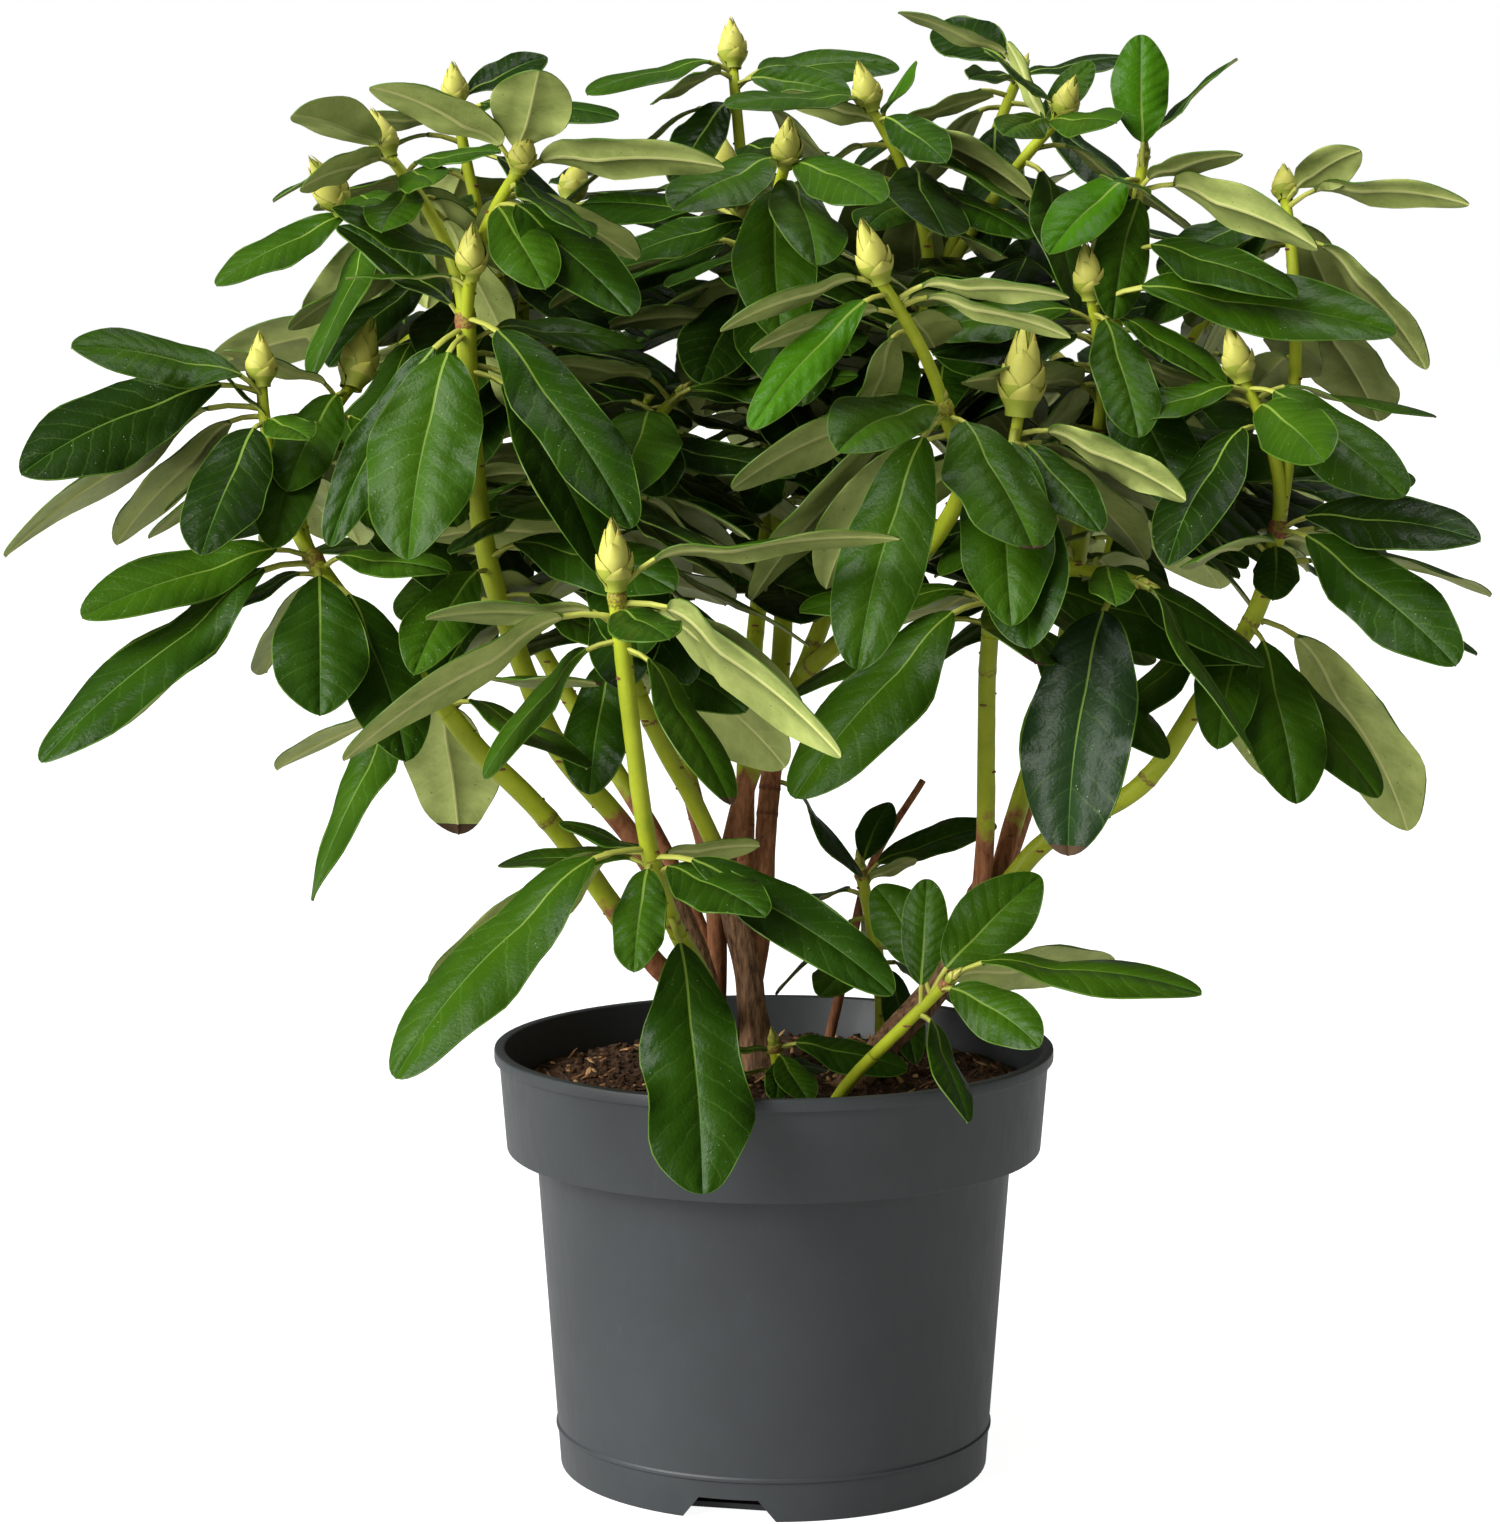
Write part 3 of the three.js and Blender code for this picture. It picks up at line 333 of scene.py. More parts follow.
def make_leaf_skin(name, shade, light, dust_share):
    material, shader = start_material(name, IOR=1.36, Specular_IOR_Level=0.17)
    texture_place = add_node(material, "ShaderNodeTexCoord")
    place = texture_place.outputs["Object"]
    cloud = add_node(material, "ShaderNodeTexNoise",
                     {"Vector": place, "Scale": 1 / (26 * MM), "Detail": 5, "Roughness": 0.6})
    apart, wave = add_vein_wave(material, texture_place.outputs["UV"], cloud)
    pale_middle = add_node(material, "ShaderNodeMath",
                           {0: apart, 1: -0.9, 2: cloud.outputs["Fac"]},
                           operation="MULTIPLY_ADD")
    tone_share = add_node(material, "ShaderNodeMapRange",
                          {"Value": pale_middle.outputs[0], "From Min": -0.05,
                           "From Max": 0.7})
    tone = add_node(material, "ShaderNodeMix",
                    {MIX_FACTOR: tone_share.outputs["Result"], MIX_A: linear(shade),
                     MIX_B: linear(light)}, data_type="RGBA")
    fading = add_node(material, "ShaderNodeMapRange",
                      {"Value": cloud.outputs["Fac"], "From Min": 0.38, "From Max": 0.62,
                       "To Min": 0.02, "To Max": 0.18})
    line = add_node(material, "ShaderNodeMapRange",
                    {"Value": wave, "From Min": 0.93, "From Max": 1})
    vein = add_node(material, "ShaderNodeMath",
                    {0: line.outputs["Result"], 1: fading.outputs["Result"]},
                    operation="MULTIPLY")
    veined = add_node(material, "ShaderNodeMix",
                      {MIX_FACTOR: vein.outputs[0], MIX_A: tone.outputs[MIX_RESULT],
                       MIX_B: linear("#5f8038")}, data_type="RGBA")

    dust = add_node(material, "ShaderNodeTexVoronoi",
                    {"Vector": place, "Scale": 1 / (DUST_SIZE * MM), "Randomness": 1})
    speck = add_node(material, "ShaderNodeMapRange",
                     {"Value": dust.outputs["Distance"], "From Min": 0.04, "From Max": 0.09,
                      "To Min": dust_share, "To Max": 0})
    where = add_node(material, "ShaderNodeMapRange",
                     {"Value": cloud.outputs["Fac"], "From Min": 0.44, "From Max": 0.6})
    dusty = add_node(material, "ShaderNodeMath",
                     {0: speck.outputs["Result"], 1: where.outputs["Result"]},
                     operation="MULTIPLY")
    specked = add_node(material, "ShaderNodeMix",
                       {MIX_FACTOR: dusty.outputs[0], MIX_A: veined.outputs[MIX_RESULT],
                        MIX_B: linear("#aebaa6")}, data_type="RGBA")

    gloss = add_node(material, "ShaderNodeMapRange",
                     {"Value": cloud.outputs["Fac"], "From Min": 0.3, "From Max": 0.7,
                      "To Min": 0.28, "To Max": 0.42})
    leather = add_node(material, "ShaderNodeTexNoise",
                       {"Vector": place, "Scale": 1 / (1.2 * MM), "Detail": 3})
    grain = add_node(material, "ShaderNodeBump",
                     {"Height": leather.outputs["Fac"], "Strength": 0.38,
                      "Distance": 0.5 * MM})
    net = add_node(material, "ShaderNodeTexVoronoi",
                   {"Vector": place, "Scale": 1 / (3 * MM)}, feature="DISTANCE_TO_EDGE")
    quilted = add_node(material, "ShaderNodeBump",
                       {"Height": net.outputs["Distance"], "Strength": 0.3,
                        "Distance": 0.5 * MM, "Normal": grain.outputs["Normal"]})
    ridges = add_node(material, "ShaderNodeBump",
                      {"Height": wave, "Strength": 0.25, "Distance": 0.35 * MM,
                       "Normal": quilted.outputs["Normal"]}, invert=True)
    link(material, specked.outputs[MIX_RESULT], shader.inputs["Base Color"])
    link(material, gloss.outputs["Result"], shader.inputs["Roughness"])
    link(material, ridges.outputs["Normal"], shader.inputs["Normal"])
    return material


leaf_skins = [make_leaf_skin("leaf_skin_deep_green", "#183004", "#264306", 0.6),
              make_leaf_skin("leaf_skin_mid_green", "#213c05", "#325108", 0.5),
              # Dark, and also painted shade: leaves at the back, inside and on the right of the
              # crown get this green.
              make_leaf_skin("leaf_skin_dark_green", "#102203", "#192f04", 0.6),
              make_leaf_skin("leaf_skin_bright_green", "#2a4f04", "#386406", 0.3),
              # Grey, for one leaf: the specks are dust, and the grey base paints a sheen.
              make_leaf_skin("leaf_skin_dusty_green", "#162711", "#23371b", 0.9)]
DEEP, MID, DARK_AND_SHADED, BRIGHT, DUST_AND_SHEEN = range(5)

# %% Finishes: the leaf's underside, midrib, stalk and margin
def make_leaf_back():
    material, shader = start_material("leaf_back_pale_olive", IOR=1.4, Roughness=0.62)
    texture_place = add_node(material, "ShaderNodeTexCoord")
    place = texture_place.outputs["Object"]
    cloud = add_node(material, "ShaderNodeTexNoise",
                     {"Vector": place, "Scale": 1 / (18 * MM), "Detail": 6, "Roughness": 0.65})
    mottled = add_node(material, "ShaderNodeMapRange",
                       {"Value": cloud.outputs["Fac"], "From Min": 0.3, "From Max": 0.7})
    tone = add_node(material, "ShaderNodeMix",
                    {MIX_FACTOR: mottled.outputs["Result"], MIX_A: linear("#7e8c44"),
                     MIX_B: linear("#aab465")}, data_type="RGBA")
    wave = add_vein_wave(material, texture_place.outputs["UV"], cloud)[1]
    line = add_node(material, "ShaderNodeMapRange",
                    {"Value": wave, "From Min": 0.86, "From Max": 1,
                     "To Min": 0, "To Max": 0.14})
    veined = add_node(material, "ShaderNodeMix",
                      {MIX_FACTOR: line.outputs["Result"], MIX_A: tone.outputs[MIX_RESULT],
                       MIX_B: linear("#bcc27c")}, data_type="RGBA")
    spots = add_node(material, "ShaderNodeTexVoronoi",
                     {"Vector": place, "Scale": 1 / (5 * MM), "Randomness": 1})
    spot = add_node(material, "ShaderNodeMapRange",
                    {"Value": spots.outputs["Distance"], "From Min": 0.05, "From Max": 0.1,
                     "To Min": 0.75, "To Max": 0})
    spotted = add_node(material, "ShaderNodeMix",
                       {MIX_FACTOR: spot.outputs["Result"], MIX_A: veined.outputs[MIX_RESULT],
                        MIX_B: linear("#45442a")}, data_type="RGBA")
    net = add_node(material, "ShaderNodeTexVoronoi",
                   {"Vector": place, "Scale": 1 / (2.5 * MM)}, feature="DISTANCE_TO_EDGE")
    bump = add_node(material, "ShaderNodeBump",
                    {"Height": net.outputs["Distance"], "Strength": 0.2, "Distance": 0.3 * MM},
                    invert=True)
    link(material, spotted.outputs[MIX_RESULT], shader.inputs["Base Color"])
    link(material, bump.outputs["Normal"], shader.inputs["Normal"])
    return material


def make_rib(name, shade, light, roughness):
    material, shader = start_material(name, IOR=1.4, Roughness=roughness,
                                      Specular_IOR_Level=0.3)
    place = add_node(material, "ShaderNodeTexCoord").outputs["Object"]
    cloud = add_node(material, "ShaderNodeTexNoise",
                     {"Vector": place, "Scale": 1 / (9 * MM), "Detail": 4})
    tone = add_node(material, "ShaderNodeMix",
                    {MIX_FACTOR: cloud.outputs["Fac"], MIX_A: linear(shade),
                     MIX_B: linear(light)}, data_type="RGBA")
    link(material, tone.outputs[MIX_RESULT], shader.inputs["Base Color"])
    return material


def make_midrib():
    material, shader = start_material("midrib_groove", IOR=1.4, Roughness=0.5,
                                      Specular_IOR_Level=0.3)
    texture_place = add_node(material, "ShaderNodeTexCoord")
    own = add_node(material, "ShaderNodeSeparateXYZ", {"Vector": texture_place.outputs["UV"]})
    fading = add_node(material, "ShaderNodeMapRange",
                      {"Value": own.outputs["Y"], "From Min": 0.2, "From Max": 0.85})
    tone = add_node(material, "ShaderNodeMix",
                    {MIX_FACTOR: fading.outputs["Result"], MIX_A: linear("#6f862f"),
                     MIX_B: linear("#345616")}, data_type="RGBA")
    link(material, tone.outputs[MIX_RESULT], shader.inputs["Base Color"])
    return material


leaf_back = make_leaf_back()
midrib = make_midrib()
stalk_skin = make_rib("leaf_stalk", "#8f9438", "#b3b556", 0.5)
rib_below = make_rib("raised_rib", "#b0b468", "#c6c884", 0.6)
margin = make_rib("leaf_margin", "#2f4c0d", "#55731f", 0.5)
withered = make_rib("withered_edge", "#241810", "#54402a", 0.8)

# %% [markdown]
# ## Buds
# A flower bud is wrapped in overlapping scales. They are pale yellow-green, a little silky, and
# brown and dry at their points. Three finishes go on different faces: one for the greener foot of
# the bud, one for most of each scale and one for the dry points.

# %% Finishes: bud scales
bud_scale = make_rib("bud_scale_yellow_green", "#9a9a38", "#c2bd62", 0.5)
bud_base = make_rib("bud_scale_green", "#7c8a2a", "#a0a63e", 0.5)
bud_point = make_rib("bud_scale_dry_point", "#87722f", "#a8974c", 0.7)

# %% [markdown]
# ## From a bmesh to a piece
# Every piece is modelled in a bmesh in millimetres. One function scales it to metres, makes the
# object, leaves it at the origin, hangs it on the root body, and hides the solids it stands for.

# %% Helper: make a piece
def make_piece(name, shape, finishes, slot, *stands_for):
    bmesh.ops.scale(shape, vec=(MM, MM, MM), verts=shape.verts)
    mesh = bpy.data.meshes.new(name)
    shape.to_mesh(mesh)
    shape.free()
    for finish in finishes:
        mesh.materials.append(finish)
    piece = bpy.data.objects.new(name, mesh)
    bpy.context.scene.collection.objects.link(piece)
    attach(piece, "root")
    if stands_for:
        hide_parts(*stands_for)
    return piece


# %% [markdown]
# ## The pot
# A nursery pot is a lathe's shape: a slightly tapered body, a step out to a wide band, a rolled
# lip, and a fine ridge near the foot. A half profile is spun round the axis, and every corner
# that runs round the pot is bevelled, because moulded plastic has no sharp corners. The drain
# notches in the foot are cut with a Boolean, which is then made part of the mesh.

# %% Spin the pot's wall
POT_HEIGHT = 175
LIP_RADIUS, LIP_HEIGHT = 115, 5
BAND_TOP_RADIUS, BAND_FOOT_RADIUS, BAND_FOOT = 113, 110, 133
BODY_TOP_RADIUS, FOOT_RADIUS = 98, 88.5
WALL = 2.3
RIDGE_HEIGHT, RIDGE = 17, 0.7
POT_STEPS = 96
CORNER = 0.7                  # radius of the moulded corners


def body_radius(height):
    return FOOT_RADIUS + (BODY_TOP_RADIUS - FOOT_RADIUS) * height / BAND_FOOT


def spin_profile(shape, profile, steps):
    """Spins a line of (radius, height) points round the upright axis into a closed skin."""
    corners = [shape.verts.new((radius, 0, height)) for radius, height in profile]
    edges = [shape.edges.new(pair) for pair in zip(corners, corners[1:])]
    bmesh.ops.spin(shape, geom=corners + edges, cent=(0, 0, 0), axis=(0, 0, 1),
                   angle=math.tau, steps=steps, use_merge=True)
    bmesh.ops.remove_doubles(shape, verts=shape.verts, dist=1e-4)
    bmesh.ops.recalc_face_normals(shape, faces=shape.faces)


outside = [(0, 0), (FOOT_RADIUS, 0),
           (body_radius(RIDGE_HEIGHT - 1.2), RIDGE_HEIGHT - 1.2),
           (body_radius(RIDGE_HEIGHT) + RIDGE, RIDGE_HEIGHT - 0.5),
           (body_radius(RIDGE_HEIGHT) + RIDGE, RIDGE_HEIGHT + 0.5),
           (body_radius(RIDGE_HEIGHT + 1.2), RIDGE_HEIGHT + 1.2),
           (BODY_TOP_RADIUS, BAND_FOOT), (BAND_FOOT_RADIUS, BAND_FOOT),
           (BAND_TOP_RADIUS, POT_HEIGHT - LIP_HEIGHT), (LIP_RADIUS, POT_HEIGHT - LIP_HEIGHT),
           (LIP_RADIUS, POT_HEIGHT)]
inside = [(BAND_TOP_RADIUS - WALL, POT_HEIGHT), (BAND_FOOT_RADIUS - WALL, BAND_FOOT + WALL),
          (BODY_TOP_RADIUS - WALL, BAND_FOOT + WALL), (FOOT_RADIUS - WALL, WALL), (0, WALL)]
pot_shape = bmesh.new()
spin_profile(pot_shape, outside + inside, POT_STEPS)
round_corners = [edge for edge in pot_shape.edges
                 if abs(edge.verts[0].co.z - edge.verts[1].co.z) < 1e-3
                 and edge.verts[0].co.xy.length > 50 and edge.verts[1].co.xy.length > 50
                 and abs(edge.verts[0].co.xy.length - edge.verts[1].co.xy.length) < 1e-3
                 and edge.calc_face_angle(0) > math.radians(50)]
bmesh.ops.bevel(pot_shape, geom=round_corners, offset=CORNER, segments=3, profile=0.5,
                affect="EDGES", material=-1)
print("pot:", len(pot_shape.faces), "faces,", len(round_corners), "edges bevelled")

# %% Cut the drain notches and make the pot
NOTCHES, NOTCH_HEADING = 3, 258
NOTCH_HEIGHT, NOTCH_WIDE, NOTCH_NARROW, NOTCH_DEEP = 9, 36, 24, 16


def add_notch(shape, heading):
    """A block that is narrower at its top, across the pot's foot."""
    block = bmesh.ops.create_cube(shape, size=1)["verts"]
    for corner in block:
        wide = NOTCH_NARROW if corner.co.z > 0 else NOTCH_WIDE * 1.1
        corner.co.x *= wide
        corner.co.y *= 2 * NOTCH_DEEP
        corner.co.z = NOTCH_HEIGHT if corner.co.z > 0 else -1
    bmesh.ops.translate(shape, verts=block, vec=(0, -FOOT_RADIUS, 0))
    bmesh.ops.rotate(shape, verts=block, cent=(0, 0, 0),
                     matrix=Matrix.Rotation(math.radians(heading - 270), 3, "Z"))


def cut_away(piece, cutter_shape):
    """Cuts a shape in millimetres out of a piece, for good."""
    bmesh.ops.scale(cutter_shape, vec=(MM, MM, MM), verts=cutter_shape.verts)
    cutter_mesh = bpy.data.meshes.new("cutter")
    cutter_shape.to_mesh(cutter_mesh)
    cutter_shape.free()
    cutter = bpy.data.objects.new("cutter", cutter_mesh)
    bpy.context.scene.collection.objects.link(cutter)
    cut = piece.modifiers.new("cut", "BOOLEAN")
    cut.object = cutter
    cut.operation = "DIFFERENCE"
    cut.solver = "EXACT"
    shown = piece.evaluated_get(bpy.context.evaluated_depsgraph_get())
    whole = bpy.data.meshes.new_from_object(shown)
    piece.modifiers.remove(cut)
    bpy.data.objects.remove(cutter)
    piece.data = whole


def smooth_by_angle(mesh, degrees):
    """Smooth shading, with edges kept sharp where faces meet at more than the angle."""
    shape = bmesh.new()
    shape.from_mesh(mesh)
    for face in shape.faces:
        face.smooth = True
    for edge in shape.edges:
        edge.smooth = edge.calc_face_angle(0) < math.radians(degrees)
    shape.to_mesh(mesh)
    shape.free()


pot = make_piece("pot_wall", pot_shape, [pot_plastic], "pot_plastic", "pot")
notches = bmesh.new()
for k in range(NOTCHES):
    add_notch(notches, NOTCH_HEADING + 360 * k / NOTCHES)
cut_away(pot, notches)
smooth_by_angle(pot.data, 35)
print("pot with notches:", len(pot.data.polygons), "faces")

# %% [markdown]
# ## The compost
# Compost settles a little below the lip and is never flat: it is a field of crumbs, a bit heaped
# round the stems. A half profile is spun into a body with many rings on top, and every point of
# the top is moved by noise at two sizes. Chips of bark are small flattened stones with a random
# length, breadth and turn; crumbs of peat are the same stones, nearly round.

# %% Make the compost's surface
SOIL_TOP, SOIL_EDGE, SOIL_FLAT_RADIUS = 162, 157, 80
SOIL_RINGS = 34
CLEAR = 0.3
inset = WALL + CLEAR


def soil_height(place):
    """Height of the compost's surface over a point of the pot."""
    away = max(0, (place.xy.length - SOIL_FLAT_RADIUS) / (BAND_FOOT_RADIUS - SOIL_FLAT_RADIUS))
    flat = Vector((place.x, place.y, 0))
    lumps = 1.8 * noise.noise(flat / 16) + 1.3 * noise.noise(flat / 5 + Vector((7, 3, 1)))
    return SOIL_TOP - (SOIL_TOP - SOIL_EDGE) * away + lumps


compost_shape = bmesh.new()
edge_radius = BAND_FOOT_RADIUS - inset + 1.6
surface = [(edge_radius * (1 - k / SOIL_RINGS), SOIL_TOP) for k in range(SOIL_RINGS + 1)]
under = [(0, inset), (FOOT_RADIUS - inset - NOTCH_DEEP, inset),
         (FOOT_RADIUS - inset - NOTCH_DEEP, NOTCH_HEIGHT + CLEAR),
         (FOOT_RADIUS - inset, NOTCH_HEIGHT + CLEAR), (BODY_TOP_RADIUS - inset, BAND_FOOT + inset),
         (BAND_FOOT_RADIUS - inset, BAND_FOOT + inset)]
spin_profile(compost_shape, under + surface, 120)
for corner in compost_shape.verts:
    if corner.co.z > SOIL_TOP - 1:
        corner.co.z = soil_height(corner.co)
for face in compost_shape.faces:
    face.smooth = True
compost = make_piece("compost_surface", compost_shape, [peat], "compost", "compost")
print("compost:", len(compost.data.polygons), "faces")


# %% Scatter bark chips
def chance(limb, whorl, leaf, use):
    """The same number every time for the same limb, whorl, leaf and use, from 0 to 1."""
    wave = math.sin(limb * 12.9898 + whorl * 78.233 + leaf * 37.719 + use * 9.157) * 43758.5453
    return wave - math.floor(wave)


CHIPS = 900
CHIP_SEED, DENT_SEED = 50, 51
CRUMB_SHARE = 0.45            # of the chips are nearly round crumbs of peat
CRUMB_SLOT = len(chip_finishes) - 1
GOLDEN_ANGLE = 137.5          # degrees
chip_shape = bmesh.new()
for k in range(CHIPS):
    away = (BAND_FOOT_RADIUS - inset - 5) * math.sqrt((k + 0.5) / CHIPS)
    heading = math.radians(GOLDEN_ANGLE * k)
    spot = Vector((away * math.cos(heading), away * math.sin(heading), 0))
    spot.z = soil_height(spot) + 0.5
    before = len(chip_shape.faces)
    chip = bmesh.ops.create_icosphere(chip_shape, subdivisions=1, radius=1)["verts"]
    crumb = chance(CHIP_SEED, k, 0, 6) < CRUMB_SHARE
    luck = chance(CHIP_SEED, k, 0, 1)
    size = (1.2 + 5 * luck ** 2, 0.6 + 0.9 * chance(CHIP_SEED, k, 0, 2), 0.5)
    if crumb:
        size = (1.2 + 1.6 * luck, 1.2 + 1.2 * luck, 1 + 1.2 * luck)
    bmesh.ops.scale(chip_shape, verts=chip, vec=size)
    for n, corner in enumerate(chip):
        corner.co *= 0.75 + 0.5 * chance(DENT_SEED, k, n, 1)
    turn = Matrix.Rotation(math.tau * chance(CHIP_SEED, k, 0, 3), 3, "Z")
    tilt = Matrix.Rotation(1.3 * (chance(CHIP_SEED, k, 0, 4) - 0.5), 3, "Y")
    bmesh.ops.rotate(chip_shape, verts=chip, cent=(0, 0, 0), matrix=turn @ tilt)
    bmesh.ops.translate(chip_shape, verts=chip, vec=spot)
    chip_shape.faces.ensure_lookup_table()
    for face in chip_shape.faces[before:]:
        bark_slot = int(CRUMB_SLOT * chance(CHIP_SEED, k, 0, 5))
        face.material_index = CRUMB_SLOT if crumb else bark_slot
make_piece("bark_chips", chip_shape, chip_finishes, "compost")
print("chips:", CHIPS)

# %% [markdown]
# ## The plan of the plant
# Each limb is a short list of points that it passes, its radius at the foot and at the tip, and
# the point where its bare bough ends (`bare`) and its leafy part begins. Wood is brown up to
# `wood`. A whorl of leaves sits on the limb (`on`) or at the tip of a twig that leaves it
# (`tip`). Leaves in `own` have a heading, a pitch, a length, a lean and sometimes a width of their
# own. The others follow the golden angle, which is how a rhododendron's leaves follow each other
# up a shoot.

# %% Trunks and limbs
TRUNKS = [
    dict(name="trunk", foot=6.6, tip=4.4, flare=7,
         path=[(-7, 0, 148), (-8, 0, 178), (-11, 0, 206), (-17, 0, 232), (-21, 1, 258)]),
    dict(name="left_trunk", foot=5.6, tip=4.6, flare=3,
         path=[(-25, -3, 148), (-24, -3, 182), (-31, -5, 211), (-43, -9, 240)]),
    dict(name="right_trunk", foot=6, tip=4.9, flare=3,
         path=[(20, -24, 148), (42, -18, 174), (68, -10, 203), (86, -2, 241)]),
    dict(name="dead_twig", foot=2.4, tip=1.5, flare=0,
         path=[(20, 60, 148), (32, 58, 200), (42, 58, 241), (64, 68, 276)]),
]

